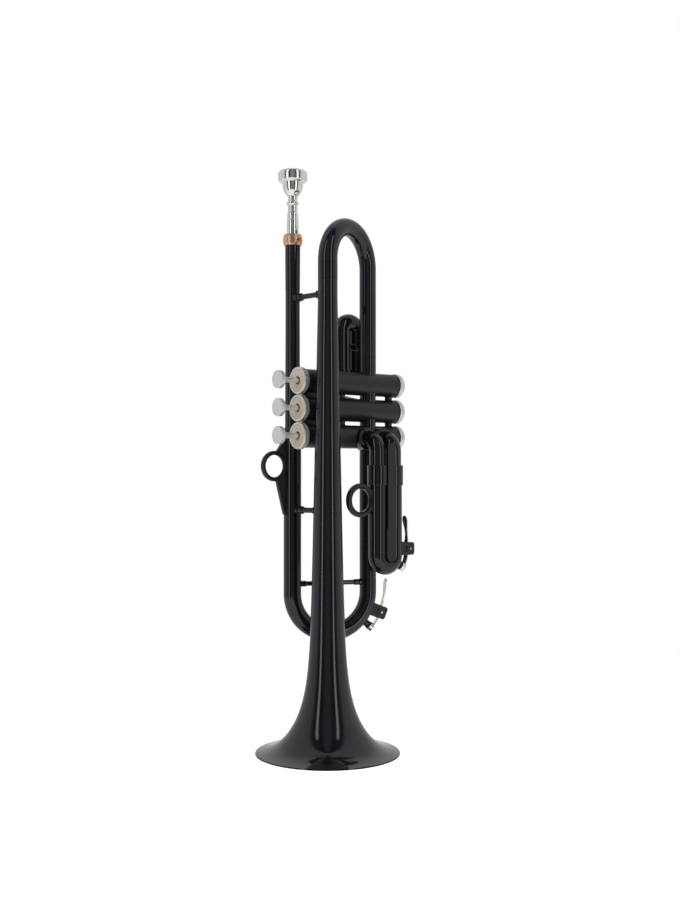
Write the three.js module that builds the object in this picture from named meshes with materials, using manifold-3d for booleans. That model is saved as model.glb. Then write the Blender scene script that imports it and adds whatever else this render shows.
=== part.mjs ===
// Plastic trumpet with three valves, standing on its bell.
// Millimetres, +Z up. In the instrument's own frame the bell's axis is the Z axis, the valves
// lie along +X with their buttons at -X, and the leadpipe stands at +Y.
import * as THREE from 'three';
import { mergeVertices } from 'three/addons/utils/BufferGeometryUtils.js';
import Module from 'manifold-3d';

const wasm = await Module();
wasm.setup();

// Driving dimensions

const gap = 0.3;
const overrun = 2;

const air = {
  boreRadius: 5.85,
  slideTubeRadius: 6.35,
  slidePlay: 0.45,
};

const bell = {
  rimRadius: 63.5,
  rimEdge: 1.2,
  rimChamfer: 0.4,
  rimFoot: 2.2,
  wall: 1.7,
  neckRadius: 8.68,
  coneTop: 400,
  top: 416.4,
  flareGrowth: 36,
  flareLength: 26,
  lipGrowth: 17,
  lipLength: 3.2,
};
const bellConeShare = 0.0208;
const bellRowCrowding = 2.7;

const bellFerrule = { height: 13.6, radius: 8.75 };
const bellBow = { tubeRadius: 8.15, rise: 3.4, kneeClearance: 24.8, wall: 1.5 };

const leadpipe = {
  x: -5.8,
  y: 45,
  topRadius: 6.55,
  lowRadius: 6.9,
  straightLength: 25,
  sleeveRadius: 8,
  sleeveTop: 285,
  shoulder: 1.2,
};

const receiver = {
  foot: 411.4,
  footRadius: 6.72,
  shoulderRise: 39.8,
  radius: 6.95,
  neckRadius: 6.5,
};

const collar = { height: 10.3, waistRadius: 8, bellyRadius: 8.95, boreRadius: 6.8 };

const mouthpiece = {
  shankReach: 24,
  shankTipRadius: 4.85,
  shankRadius: 5.4,
  shankLength: 15,
  neckRadius: 4.42,
  neckRingRadius: 5.65,
  neckHeight: 31.8,
  cupLength: 15.6,
  cupRadius: 9.75,
  rimRadius: 13.35,
  rimHeight: 11.1,
  rimChamfer: 2.2,
  rimRound: 1.4,
  biteRadius: 8.3,
  cupDepth: 12,
  throatRadius: 1.9,
  backboreRadius: 2.6,
};
// Shares of the neck's height and of the ring's radius.
const neckShares = [[0.5, 0.92], [0.86, 0.8], [0.895, 0.99], [0.935, 0.99], [0.97, 0.79]];
// Shares of the cup's height and of the cup's radius.
const cupOutsideShares = [[0.23, 0.53], [0.47, 0.84], [0.7, 0.935], [0.94, 0.985]];
// Shares of the cup's depth and of the bite's radius.
const cupInsideShares = [[0.12, 1], [0.55, 0.86], [0.88, 0.55]];

const lowerTube = { x: 64, y: 22.5, radius: 7.7 };

const slideJoint = 184.6;
const tuning = { centreHeight: 135.7, innerDepth: 30 };
const tuningReachShare = 0.514;

const brace = {
  upperDrop: 7.7,
  slideRise: 8.7,
  rodRadius: 2.4,
  ferruleRadius: 3.6,
  ferruleLength: 5.2,
  slideRodRadius: 2.15,
  slideFerruleRadius: 2.75,
};
const braceStraightShare = 0.7;
const middleBraceShare = 0.289;

const valves = {
  y: 22.5,
  topHeight: 327.1,
  pitch: 24.53,
  casingRadius: 10.65,
  casingBore: 9.5,
  casingStart: -11.1,
  casingEnd: 94.7,
  knuckleRadius: 7.45,
  linkRadius: 3.4,
  linkNear: 33,
  linkFar: 89,
  webStart: -10.5,
  webEnd: 8,
  webThickness: 4,
};
const valveCount = 3;

const cap = {
  radius: 12.08,
  length: 5.7,
  rim: 1.9,
  recess: 1.5,
  holeRadius: 4.8,
  plugLength: 2.8,
  plugRadius: 9.2,
  ridgeDepth: 0.4,
  chamfer: 0.8,
};
const capRidges = 24;

const capFelt = { thickness: 0.8 };

const button = {
  radius: 8.07,
  thickness: 4.2,
  rounding: 0.7,
  coneRadius: 4,
  coneLength: 3.4,
  stemRadius: 2.57,
  faceReach: 21.6,
};

const piston = {
  radius: 9.2,
  topDrop: 3.6,
  topPlate: 1.5,
  barrelWall: 1.3,
  barrelLength: 28,
  bodyLength: 53.6,
  slotWidth: 5.2,
  slotMargin: 2.4,
};

const guide = { radius: 7.5, thickness: 2.4, armWidth: 4.4, holeRadius: 4 };

const valveSpring = { wireRadius: 0.45, coilRadius: 6.1 };
const valveSpringTurns = 4;

const bottomCap = { radius: 11.25, length: 7, wall: 1.6, chamfer: 2.2, nippleRadius: 3.4, nipple: 0.7 };

const slide = {
  legSpacing: 18.5,
  radius: 8.15,
  neckRadius: 7.4,
  bossRadius: 10.4,
  bossLength: 3.4,
  elbowRadius: 12,
  sleeveRadius: 9.2,
  webDepth: 7.2,
  innerStop: 4,
};

const thirdSlide = {
  x: 62,
  y: -5,
  portDrop: 1.8,
  sleeveDrop: 42.6,
  sleeveHeight: 18.4,
  farJointDrop: 81,
  bowDrop: 106.3,
  stripRise: 58,
  plateWidth: 10.4,
  plateDepth: 9.2,
};

const fingerRing = { inner: 10.5, outer: 15.3, thickness: 4.6, drop: 55.8, reach: 29.2 };

const firstSlide = {
  x: 62,
  y: 48.5,
  portRise: 1.5,
  sleeveDrop: 13.5,
  sleeveHeight: 3,
  farJointDrop: 13.5,
  bowDrop: 49.4,
  lugDrop: 31.8,
  lugHeight: 6.6,
  lugProud: 1.6,
};

const secondSlide = {
  x: 62,
  neckLength: 9,
  legLength: 13,
  knobRadius: 3.6,
  knobNeckRadius: 1.8,
  knobLength: 5,
  tiltDegrees: 11,
};

const fingerRest = {
  inner: 10,
  outer: 13.7,
  thickness: 4.4,
  reach: 20.2,
  height: 251.1,
  webTop: 275,
  webFoot: 207,
  webThickness: 3.4,
};

const waterKey = {
  saddleReach: 12.4,
  saddleHeight: 11.6,
  saddleWidth: 12.4,
  saddleRound: 2.4,
  slotWidth: 6.4,
  slotFloor: 4.6,
  panelReach: 3.8,
  panelWidth: 4.8,
  panelHeight: 5.4,
  panelDepth: 0.8,
  pivotReach: 7.6,
  pinRadius: 1,
  pinProud: 0.5,
  barrelRadius: 2.1,
  windowHeight: 6.6,
  windowWidth: 3.6,
  leverThickness: 1.4,
  leverWidth: 5.4,
  paddleWidth: 6.6,
  cupRadius: 4.1,
  cupThickness: 4.2,
  corkRadius: 3.4,
  corkThickness: 3.2,
  nippleRadius: 3.3,
  nippleBore: 1.5,
  springWireRadius: 0.3,
  springRadius: 2,
};
const waterKeySpringTurns = 2;
// The paddle's height share and width share, from its tip down to the saddle.
const paddleShares = [
  [1, 0.35], [0.97, 0.72], [0.88, 1], [0.76, 0.95], [0.6, 0.62], [0.42, 0.48], [0.22, 0.72],
];

const thirdKey = { rise: 5.8, tipRise: 30, tipLean: 2, nipple: 1.2, cupDegrees: -28.5 };
const mainKey = { tipRise: 30.9, tipLean: 5.8, nipple: 3.2, saddleDegrees: -22.2, cupDegrees: -40.2 };

// Facet counts
const fine = 32;
const medium = 16;
const coarse = 12;
const small = 8;
const bowSteps = 10;
const tightBowSteps = 8;
const elbowSteps = 3;
const stepsInCurl = 8;
const curlSides = 5;

// Finishes

const finish = {
  gloss: { color: 0x141519, roughness: 0.16, metalness: 0 },
  satin: { color: 0x1b1b1e, roughness: 0.45, metalness: 0 },
  chrome: { color: 0xcfcecb, roughness: 0.12, metalness: 1 },
  nickel: { color: 0xbdbcb8, roughness: 0.3, metalness: 1 },
  copper: { color: 0xc48a66, roughness: 0.3, metalness: 1 },
  steel: { color: 0x9a9a98, roughness: 0.35, metalness: 1 },
  alloy: { color: 0xa8aaad, roughness: 0.35, metalness: 1 },
  felt: { color: 0xb9ad9d, roughness: 0.9, metalness: 0 },
  rubber: { color: 0x121212, roughness: 0.8, metalness: 0 },
  nylon: { color: 0xd8d8d2, roughness: 0.5, metalness: 0 },
};

// Solid tools

function solidOf(geometry) {
  const plain = geometry.index ? geometry.toNonIndexed() : geometry;
  const bare = new THREE.BufferGeometry();
  bare.setAttribute('position', plain.getAttribute('position').clone());
  const merged = mergeVertices(bare, 1e-4);
  const vertProperties = new Float32Array(merged.getAttribute('position').array);
  const triVerts = new Uint32Array(merged.index.array);
  const solid = new wasm.Manifold(new wasm.Mesh({ numProp: 3, vertProperties, triVerts }));
  if (solid.volume() > 0) {
    return solid;
  }
  for (let corner = 0; corner < triVerts.length; corner += 3) {
    [triVerts[corner + 1], triVerts[corner + 2]] = [triVerts[corner + 2], triVerts[corner + 1]];
  }
  return new wasm.Manifold(new wasm.Mesh({ numProp: 3, vertProperties, triVerts }));
}

function geometryOf(solid) {
  const mesh = solid.asOriginal().simplify(gap / 30).getMesh();
  const positions = [];
  for (let vertex = 0; vertex < mesh.vertProperties.length; vertex += mesh.numProp) {
    positions.push(...mesh.vertProperties.slice(vertex, vertex + 3));
  }
  const geometry = new THREE.BufferGeometry();
  geometry.setAttribute('position', new THREE.Float32BufferAttribute(positions, 3));
  geometry.setIndex([...mesh.triVerts]);
  return geometry;
}

function joined(...solids) {
  return solids.reduce((whole, next) => whole.add(next));
}

function cut(solid, ...tools) {
  return tools.reduce((whole, tool) => whole.subtract(tool), solid);
}

// A body of revolution about Z; the profile holds [radius, height] pairs.
function revolved(profile, sides) {
  const points = profile.map(([radius, height]) => new THREE.Vector2(radius, height));
  const geometry = new THREE.LatheGeometry(points, sides);
  geometry.rotateX(Math.PI / 2);
  return solidOf(geometry);
}

function rod(radius, low, high, sides) {
  return revolved([[0, low], [radius, low], [radius, high], [0, high]], sides);
}

function pipe(outer, inner, low, high, sides) {
  return revolved([[inner, low], [outer, low], [outer, high], [inner, high], [inner, low]], sides);
}

// A ring with chamfered edges.
function roundedRing(inner, outer, thickness, sides) {
  const half = thickness / 2;
  const edge = half / 2;
  return revolved([
    [inner, edge - half],
    [inner + edge, -half],
    [outer - edge, -half],
    [outer, edge - half],
    [outer, half - edge],
    [outer - edge, half],
    [inner + edge, half],
    [inner, half - edge],
    [inner, edge - half],
  ], sides);
}

function alongX(solid) {
  return solid.rotate([0, 90, 0]);
}

function alongY(solid) {
  return solid.rotate([-90, 0, 0]);
}

function block(low, high) {
  const [x, y, z] = high.map((value, axis) => value - low[axis]);
  const geometry = new THREE.BoxGeometry(x, y, z);
  geometry.translate(low[0] + x / 2, low[1] + y / 2, low[2] + z / 2);
  return solidOf(geometry);
}

// Extrudes an outline of the XZ plane to both sides of it.
function plate(outline, width, curveSegments) {
  const geometry = new THREE.ExtrudeGeometry(outline, { depth: width, bevelEnabled: false, curveSegments });
  geometry.translate(0, 0, -width / 2);
  geometry.rotateX(Math.PI / 2);
  return solidOf(geometry);
}

// A straight leg, an arc about the origin and a second leg, all in the XZ plane.
// Each station of the path makes one ring of facets.
class BowPath extends THREE.Curve {
  constructor({ radius, from, to, steps, startLeg = 0, endLeg = 0 }) {
    super();
    const direction = Math.sign(to - from);
    this.stations = [];
    const station = (angle, along) => {
      const tangent = new THREE.Vector3(-Math.sin(angle), 0, Math.cos(angle)).multiplyScalar(direction);
      const point = new THREE.Vector3(Math.cos(angle), 0, Math.sin(angle)).multiplyScalar(radius);
      this.stations.push({ point: point.addScaledVector(tangent, along), tangent });
    };
    if (startLeg > 0) {
      station(from, -startLeg);
    }
    for (let step = 0; step <= steps; step += 1) {
      station(from + ((to - from) * step) / steps, 0);
    }
    if (endLeg > 0) {
      station(to, endLeg);
    }
  }

  stationAt(share) {
    return this.stations[Math.round(share * (this.stations.length - 1))];
  }

  getPointAt(share, target = new THREE.Vector3()) {
    return target.copy(this.stationAt(share).point);
  }

  getTangentAt(share, target = new THREE.Vector3()) {
    return target.copy(this.stationAt(share).tangent);
  }
}

function bowTube(tubeRadius, plan, sides) {
  const shape = new THREE.Shape();
  shape.absarc(0, 0, tubeRadius, 0, 2 * Math.PI, false);
  const extrudePath = new BowPath(plan);
  const steps = extrudePath.stations.length - 1;
  return solidOf(new THREE.ExtrudeGeometry(shape, {
    steps,
    curveSegments: sides / 2,
    bevelEnabled: false,
    extrudePath,
  }));
}

// Scales a bow's tube about its own centre line, from the leg at -X to the leg at +X.
function tapered(solid, bowRadius, legsUp, startScale, endScale) {
  return solid.warp((vertex) => {
    const onBow = legsUp ? vertex[2] < 0 : vertex[2] > 0;
    const angle = onBow ? Math.atan2(vertex[2], vertex[0]) : Math.atan2(0, vertex[0]);
    const share = 1 - Math.abs(angle) / Math.PI;
    const scale = THREE.MathUtils.lerp(startScale, endScale, share);
    const centreX = bowRadius * Math.cos(angle);
    const centreZ = onBow ? bowRadius * Math.sin(angle) : vertex[2];
    vertex[0] = centreX + (vertex[0] - centreX) * scale;
    vertex[1] *= scale;
    vertex[2] = centreZ + (vertex[2] - centreZ) * scale;
  });
}

// A wound spring along Z: a closed tube of five sides that ends straight.
function woundSpring(low, high, coilRadius, wireRadius, turns) {
  const rings = [];
  const steps = turns * stepsInCurl;
  const rise = high - low - 2 * wireRadius;
  for (let step = -1; step <= steps + 1; step += 1) {
    const curl = THREE.MathUtils.clamp(step, 0, steps);
    const angle = (curl / stepsInCurl) * 2 * Math.PI;
    const along = (step - curl) * 2 * wireRadius;
    rings.push({ angle, along, height: low + wireRadius + (rise * curl) / steps });
  }
  const positions = [];
  for (const { angle, along, height } of rings) {
    for (let side = 0; side < curlSides; side += 1) {
      const turn = (side / curlSides) * 2 * Math.PI;
      const radius = coilRadius + wireRadius * Math.cos(turn);
      positions.push(
        radius * Math.cos(angle) - along * Math.sin(angle),
        radius * Math.sin(angle) + along * Math.cos(angle),
        height + wireRadius * Math.sin(turn),
      );
    }
  }
  const index = [];
  for (let ring = 0; ring < rings.length - 1; ring += 1) {
    for (let side = 0; side < curlSides; side += 1) {
      const here = ring * curlSides + side;
      const beside = ring * curlSides + ((side + 1) % curlSides);
      index.push(here, here + curlSides, beside, beside, here + curlSides, beside + curlSides);
    }
  }
  const last = (rings.length - 1) * curlSides;
  for (let side = 1; side < curlSides - 1; side += 1) {
    index.push(0, side, side + 1);
    index.push(last, last + side + 1, last + side);
  }
  const geometry = new THREE.BufferGeometry();
  geometry.setAttribute('position', new THREE.Float32BufferAttribute(positions, 3));
  geometry.setIndex(index);
  return solidOf(geometry);
}

// The least distance between the surfaces of two turns, measured on points of the coil.
function leastCoilGap(low, high, coilRadius, wireRadius, turns) {
  const steps = turns * stepsInCurl;
  const rise = high - low - 2 * wireRadius;
  const points = [];
  for (let step = 0; step <= steps; step += 1) {
    const angle = (step / stepsInCurl) * 2 * Math.PI;
    points.push(new THREE.Vector3(coilRadius * Math.cos(angle), coilRadius * Math.sin(angle), (rise * step) / steps));
  }
  let least = Infinity;
  points.forEach((point, index) => {
    for (const other of points.slice(index + stepsInCurl / 2)) {
      least = Math.min(least, point.distanceTo(other) - 2 * wireRadius);
    }
  });
  return least;
}

function part(name, solid, look) {
  const geometry = geometryOf(solid);
  geometry.computeVertexNormals();
  const mesh = new THREE.Mesh(geometry, new THREE.MeshStandardMaterial(look));
  mesh.name = name;
  return mesh;
}

function placed(meshes, x, y, z, turn = [0, 0, 0]) {
  const group = new THREE.Group();
  group.position.set(x, y, z);
  group.rotation.set(...turn);
  group.add(...meshes);
  return group;
}

function valveHeight(index) {
  return valves.topHeight - index * valves.pitch;
}

const slideBoreRadius = air.slideTubeRadius + air.slidePlay;
const span = Math.hypot(lowerTube.x, lowerTube.y);
const tuningReach = (valveHeight(valveCount - 1) - slideJoint) * tuningReachShare;

// The room that a valve casing takes, for the tubes that end against it.
function casingRoom(y, z) {
  return alongX(rod(valves.casingRadius + gap, -span, 2 * span, medium)).translate([0, y, z]);
}

// The room that the upright tubes over and under the valves take.
function uprightRoom(x, y) {
  return rod(lowerTube.radius + gap, -2 * valves.casingRadius, 2 * valves.casingRadius, medium).translate([x, y, 0]);
}

// Bell

function bellRadiusAt(height) {
  const cone = Math.max(bell.coneTop - height, 0) * bellConeShare;
  const flare = bell.flareGrowth * Math.exp(-height / bell.flareLength);
  const lip = bell.lipGrowth * Math.exp(-height / bell.lipLength);
  return Math.min(bell.neckRadius + cone + flare + lip, bell.rimRadius);
}

function bellHeights(rows) {
  const low = bell.rimEdge + bell.wall;
  const heights = [];
  for (let row = 0; row <= rows; row += 1) {
    heights.push(low + (bell.coneTop - low) * (row / rows) ** bellRowCrowding);
  }
  return heights;
}

// The point on the inside of the wall, square to the outside at this height.
function bellInsideAt(height) {
  const step = bell.lipLength / 100;
  const slope = (bellRadiusAt(height + step) - bellRadiusAt(height - step)) / (2 * step);
  const length = Math.hypot(1, slope);
  return [bellRadiusAt(height) - bell.wall / length, height + (bell.wall * slope) / length];
}

function makeBell() {
  const outerRows = 12;
  const innerRows = 7;
  const top = bell.top - gap;
  const profile = [
    [bell.rimRadius - bell.rimChamfer, 0],
    [bell.rimRadius, bell.rimChamfer],
    [bell.rimRadius, bell.rimEdge],
    ...bellHeights(outerRows).map((height) => [bellRadiusAt(height), height]),
    [bell.neckRadius, top],
    [bell.neckRadius - bell.wall, top],
    ...bellHeights(innerRows).map(bellInsideAt).reverse(),
    [bell.rimRadius - bell.rimFoot, 0],
    [bell.rimRadius - bell.rimChamfer, 0],
  ];
  return part('bell', revolved(profile, fine), finish.gloss);
}

// The bell bow lies in the plane through the bell's axis and the tube into the first valve.
function makeBellBow() {
  const turn = Math.atan2(lowerTube.y, lowerTube.x);
  const foot = bell.top + bellFerrule.height + gap;
  const kneeHeight = valves.topHeight + bellBow.kneeClearance;
  const knee = bellBow.rise + foot - kneeHeight;
  const bowRadius = span / 2;
  const plan = {
    radius: bowRadius,
    from: Math.PI,
    to: 0,
    steps: bowSteps,
    startLeg: bellBow.rise,
    endLeg: knee,
  };
  const room = { ...plan, startLeg: bellBow.rise + overrun, endLeg: knee + overrun };
  const startScale = bell.neckRadius / bellBow.tubeRadius;
  const endScale = lowerTube.radius / bellBow.tubeRadius;
  const outside = tapered(bowTube(bellBow.tubeRadius, plan, coarse), bowRadius, false, startScale, endScale);
  const boreRadius = bellBow.tubeRadius - bellBow.wall;
  const inside = tapered(bowTube(boreRadius, room, small), bowRadius, false, startScale, endScale);
  const bow = cut(outside, inside).translate([bowRadius, 0, 0]);
  const ferrule = pipe(bellFerrule.radius, boreRadius, 0, bellFerrule.height, medium);
  const knuckle = cut(
    pipe(lowerTube.radius, air.boreRadius, valves.topHeight, kneeHeight - gap, coarse),
    casingRoom(0, valves.topHeight),
  );
  return [
    placed([part('bell_bow', bow, finish.gloss)], 0, 0, foot + bellBow.rise, [0, 0, turn]),
    placed([part('bell_ferrule', ferrule, finish.gloss)], 0, 0, bell.top),
    placed([part('return_knuckle', knuckle, finish.gloss)], lowerTube.x, lowerTube.y, 0),
  ];
}

// Mouthpiece and leadpipe

const receiverShoulder = receiver.foot + receiver.shoulderRise;
const collarFoot = receiverShoulder + gap;
const collarTop = collarFoot + collar.height;

function makeMouthpiece() {
  const m = mouthpiece;
  const tip = collarTop - m.shankReach;
  const cupFoot = collarTop + m.neckHeight;
  const cupTop = cupFoot + m.cupLength;
  const rimTop = cupTop + m.rimHeight;
  const neck = neckShares.map(([height, radius]) => [m.neckRingRadius * radius, collarTop + m.neckHeight * height]);
  const cup = cupOutsideShares.map(([height, radius]) => [m.cupRadius * radius, cupFoot + m.cupLength * height]);
  const well = cupInsideShares.map(([depth, radius]) => [m.biteRadius * radius, rimTop - m.cupDepth * depth]);
  const profile = [
    [m.backboreRadius, tip],
    [m.shankTipRadius, tip],
    [m.shankRadius, collarTop],
    [m.neckRingRadius, collarTop + m.shankLength - gap],
    ...neck,
    [m.neckRadius, cupFoot],
    ...cup,
    [m.cupRadius, cupTop],
    [m.rimRadius, cupTop + m.rimChamfer],
    [m.rimRadius, rimTop - m.rimRound],
    [m.rimRadius - m.rimRound, rimTop - gap],
    [m.biteRadius + m.rimRound, rimTop],
    ...well,
    [m.throatRadius, rimTop - m.cupDepth - m.rimRound],
    [m.throatRadius, collarTop + m.shankLength],
    [m.backboreRadius, tip],
  ];
  return part('mouthpiece', revolved(profile, medium), finish.chrome);
}

function collarSolid() {
  const steps = 4;
  const belly = [];
  for (let step = 0; step <= steps; step += 1) {
    const share = step / steps;
    const swell = Math.sin(Math.PI * share) * (collar.bellyRadius - collar.waistRadius);
    belly.push([collar.waistRadius + swell, collarFoot + collar.height * share]);
  }
  const inside = collar.boreRadius;
  return revolved([[inside, collarFoot], ...belly, [inside, collarTop], [inside, collarFoot]], medium);
}

function receiverSolid() {
  const r = receiver;
  const top = collarTop - gap;
  return revolved([
    [air.boreRadius, r.foot],
    [r.footRadius, r.foot],
    [r.radius, receiverShoulder],
    [r.neckRadius, receiverShoulder],
    [r.neckRadius, top],
    [air.boreRadius, top],
    [air.boreRadius, r.foot],
  ], medium);
}

function leadpipeSolid() {
  const l = leadpipe;
  const top = receiver.foot - gap;
  const foot = slideJoint + gap;
  const step = slideJoint + tuningReach + overrun;
  return revolved([
    [slideBoreRadius, foot],
    [l.sleeveRadius, foot],
    [l.sleeveRadius, l.sleeveTop],
    [l.lowRadius, l.sleeveTop + l.shoulder],
    [l.topRadius, top - l.straightLength],
    [l.topRadius, top],
    [air.boreRadius, top],
    [air.boreRadius, step],
    [slideBoreRadius, step],
    [slideBoreRadius, foot],
  ], medium);
}

// A ring for the little finger on a web that runs along the leadpipe.
function fingerRestSolid() {
  const f = fingerRest;
  const foot = leadpipe.sleeveRadius - f.webThickness / 2;
  const edge = -foot - f.webThickness;
  const rise = f.outer - f.webThickness / 3;
  const outline = new THREE.Shape();
  outline.moveTo(-foot, f.webFoot);
  outline.lineTo(-foot, f.webTop);
  outline.lineTo(edge, f.webTop);
  outline.lineTo(-f.reach, f.height + rise);
  outline.lineTo(-f.reach, f.height - rise);
  outline.lineTo(edge, f.webFoot);
  const eye = alongY(rod(f.inner + f.thickness / 4, -f.thickness, f.thickness, medium));
  const ring = alongY(roundedRing(f.inner, f.outer, f.thickness, medium));
  const web = cut(plate(outline, f.webThickness, 5), eye.translate([-f.reach, 0, f.height]));
  const pipeRoom = rod(leadpipe.sleeveRadius + gap, f.webFoot - overrun, f.webTop + overrun, medium);
  return cut(joined(web, ring.translate([-f.reach, 0, f.height])), pipeRoom);
}

function makeLeadpipe() {
  return placed([
    makeMouthpiece(),
    part('receiver_collar', collarSolid(), finish.copper),
    part('mouthpiece_receiver', receiverSolid(), finish.gloss),
    part('leadpipe', leadpipeSolid(), finish.gloss),
    part('finger_rest_ring', fingerRestSolid(), finish.satin),
  ], leadpipe.x, leadpipe.y, 0);
}

// Braces

function braceSolid(length, rodRadius, ferruleRadius) {
  const straight = brace.ferruleLength * braceStraightShare;
  return alongX(revolved([
    [0, 0],
    [ferruleRadius, 0],
    [ferruleRadius, straight],
    [rodRadius, brace.ferruleLength],
    [rodRadius, length - brace.ferruleLength],
    [ferruleRadius, length - straight],
    [ferruleRadius, length],
    [0, length],
  ], small));
}

// A rod between two upright tubes, saddled to each of them.
function braceBetween(startRadius, endRadius, distance, rodRadius, ferruleRadius) {
  const sink = ferruleRadius / 2;
  const length = distance - startRadius - endRadius + 2 * sink;
  const bar = braceSolid(length, rodRadius, ferruleRadius).translate([startRadius - sink, 0, 0]);
  const half = 2 * ferruleRadius;
  return cut(
    bar,
    rod(startRadius + gap, -half, half, medium),
    rod(endRadius + gap, -half, half, medium).translate([distance, 0, 0]),
  );
}

function makePipeBrace(name, height, pipeRadius) {
  const distance = Math.hypot(leadpipe.x, leadpipe.y);
  const turn = Math.atan2(leadpipe.y, leadpipe.x);
  const solid = braceBetween(bellRadiusAt(height), pipeRadius, distance, brace.rodRadius, brace.ferruleRadius);
  return placed([part(name, solid, finish.gloss)], 0, 0, height, [0, 0, turn]);
}

// Main tuning slide

const tuningSpan = Math.hypot(lowerTube.x - leadpipe.x, lowerTube.y - leadpipe.y);
const tuningRise = slideJoint - tuning.centreHeight;

function tuningBow(radius, extraLeg, sides) {
  const leg = tuningRise + extraLeg;
  const plan = { radius: tuningSpan / 2, from: -Math.PI, to: 0, steps: bowSteps, startLeg: leg, endLeg: leg };
  const endScale = lowerTube.radius / leadpipe.sleeveRadius;
  return tapered(bowTube(radius, plan, sides), tuningSpan / 2, true, 1, endScale);
}

function makeTuningSlide() {
  const half = tuningSpan / 2;
  const bore = tuningBow(air.boreRadius, overrun, small);
  let crook = joined(tuningBow(leadpipe.sleeveRadius, 0, coarse), keyNipple(mainKeyPlan()));
  crook = cut(crook, bore, keyNippleBore(mainKeyPlan()));
  const tubes = [-half, half].map((x, index) => {
    const low = tuningRise - tuning.innerDepth;
    const socket = rod(air.slideTubeRadius + gap, low - gap, tuningRise + overrun, coarse);
    crook = cut(crook, socket.translate([x, 0, 0]));
    const tube = pipe(air.slideTubeRadius, air.boreRadius, low, tuningRise + tuningReach, coarse);
    return part(`tuning_slide_inner_tube_${index + 1}`, tube.translate([x, 0, 0]), finish.alloy);
  });
  const bar = braceBetween(
    leadpipe.sleeveRadius,
    lowerTube.radius,
    tuningSpan,
    brace.slideRodRadius,
    brace.slideFerruleRadius,
  ).translate([-half, 0, brace.slideRise]);
  const meshes = [
    part('tuning_slide_crook', crook, finish.gloss),
    ...tubes,
    part('tuning_slide_brace', bar, finish.gloss),
    ...makeWaterKey('main', mainKeyPlan()),
  ];
  const x = (leadpipe.x + lowerTube.x) / 2;
  const y = (leadpipe.y + lowerTube.y) / 2;
  const turn = Math.atan2(lowerTube.y - leadpipe.y, lowerTube.x - leadpipe.x);
  return placed(meshes, x, y, tuning.centreHeight, [0, 0, turn]);
}

function makeLowerTube() {
  const foot = slideJoint + gap;
  const top = valveHeight(valveCount - 1);
  const step = slideJoint + tuningReach + overrun;
  const tube = revolved([
    [slideBoreRadius, foot],
    [lowerTube.radius, foot],
    [lowerTube.radius, top],
    [air.boreRadius, top],
    [air.boreRadius, step],
    [slideBoreRadius, step],
    [slideBoreRadius, foot],
  ], coarse);
  const mesh = part('lower_tube', cut(tube, casingRoom(0, top)), finish.gloss);
  return placed([mesh], lowerTube.x, lowerTube.y, 0);
}

// Valves
// A valve is drawn along Z and turned to lie along X, so that its own -X is up.

function casingSolid(index) {
  const v = valves;
  const isLast = index === valveCount - 1;
  const reach = v.casingRadius + overrun;
  const start = v.casingStart - overrun;
  const end = v.casingEnd + overrun;
  let casing = pipe(v.casingRadius, v.casingBore, v.casingStart, v.casingEnd, medium);
  if (!isLast) {
    const bore = rod(v.casingBore, start, end, medium);
    const next = rod(v.casingRadius + gap, start, end, medium).translate([v.pitch, 0, 0]);
    const links = [v.linkNear, v.linkFar].map((at) => (
      alongX(rod(v.linkRadius, v.casingBore, v.pitch, small)).translate([0, 0, at])
    ));
    const halfWeb = v.webThickness / 2;
    const web = block([v.casingBore, -halfWeb, v.webStart], [v.pitch, halfWeb, v.webEnd]);
    casing = joined(casing, ...[...links, web].map((link) => cut(link, bore, next)));
  }
  casing = cut(casing, alongX(rod(air.boreRadius, -reach, reach, small)).translate([0, 0, lowerTube.x]));
  const slideX = isLast ? thirdSlide.x : firstSlide.x;
  const [low, high] = isLast ? [-reach, 0] : [0, reach];
  for (const x of [slideX - slide.legSpacing / 2, slideX + slide.legSpacing / 2]) {
    casing = cut(casing, alongY(rod(air.boreRadius, low, high, small)).translate([0, 0, x]));
  }
  return casing;
}

const pistonTop = valves.casingStart + piston.topDrop;
const barrelEnd = pistonTop + piston.barrelLength;
const guideFoot = barrelEnd - guide.thickness - gap;

function pistonSolid() {
  const p = piston;
  const side = p.radius + overrun;
  const shell = rod(p.radius, pistonTop, barrelEnd + p.bodyLength, medium);
  const hollow = rod(p.radius - p.barrelWall, pistonTop + p.topPlate, barrelEnd, medium);
  const slotStart = pistonTop + p.topPlate + p.slotMargin;
  const slot = block([-side, -p.slotWidth / 2, slotStart], [side, p.slotWidth / 2, barrelEnd]);
  const passage = (at) => alongX(rod(air.boreRadius, -side, side, small)).translate([0, 0, at]);
  return cut(shell, hollow, slot, passage(lowerTube.x - slide.legSpacing), passage(lowerTube.x));
}

function guideSolid() {
  const g = guide;
  const top = guideFoot + g.thickness;
  const reach = valves.casingBore - gap;
  const arms = block([-reach, -g.armWidth / 2, guideFoot], [reach, g.armWidth / 2, top])
    .intersect(rod(reach, guideFoot, top, medium));
  const disc = rod(g.radius, guideFoot, top, coarse);
  return cut(joined(disc, arms), rod(g.holeRadius, guideFoot - overrun, top + overrun, small));
}

const capStart = valves.casingStart - gap - cap.length;

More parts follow.
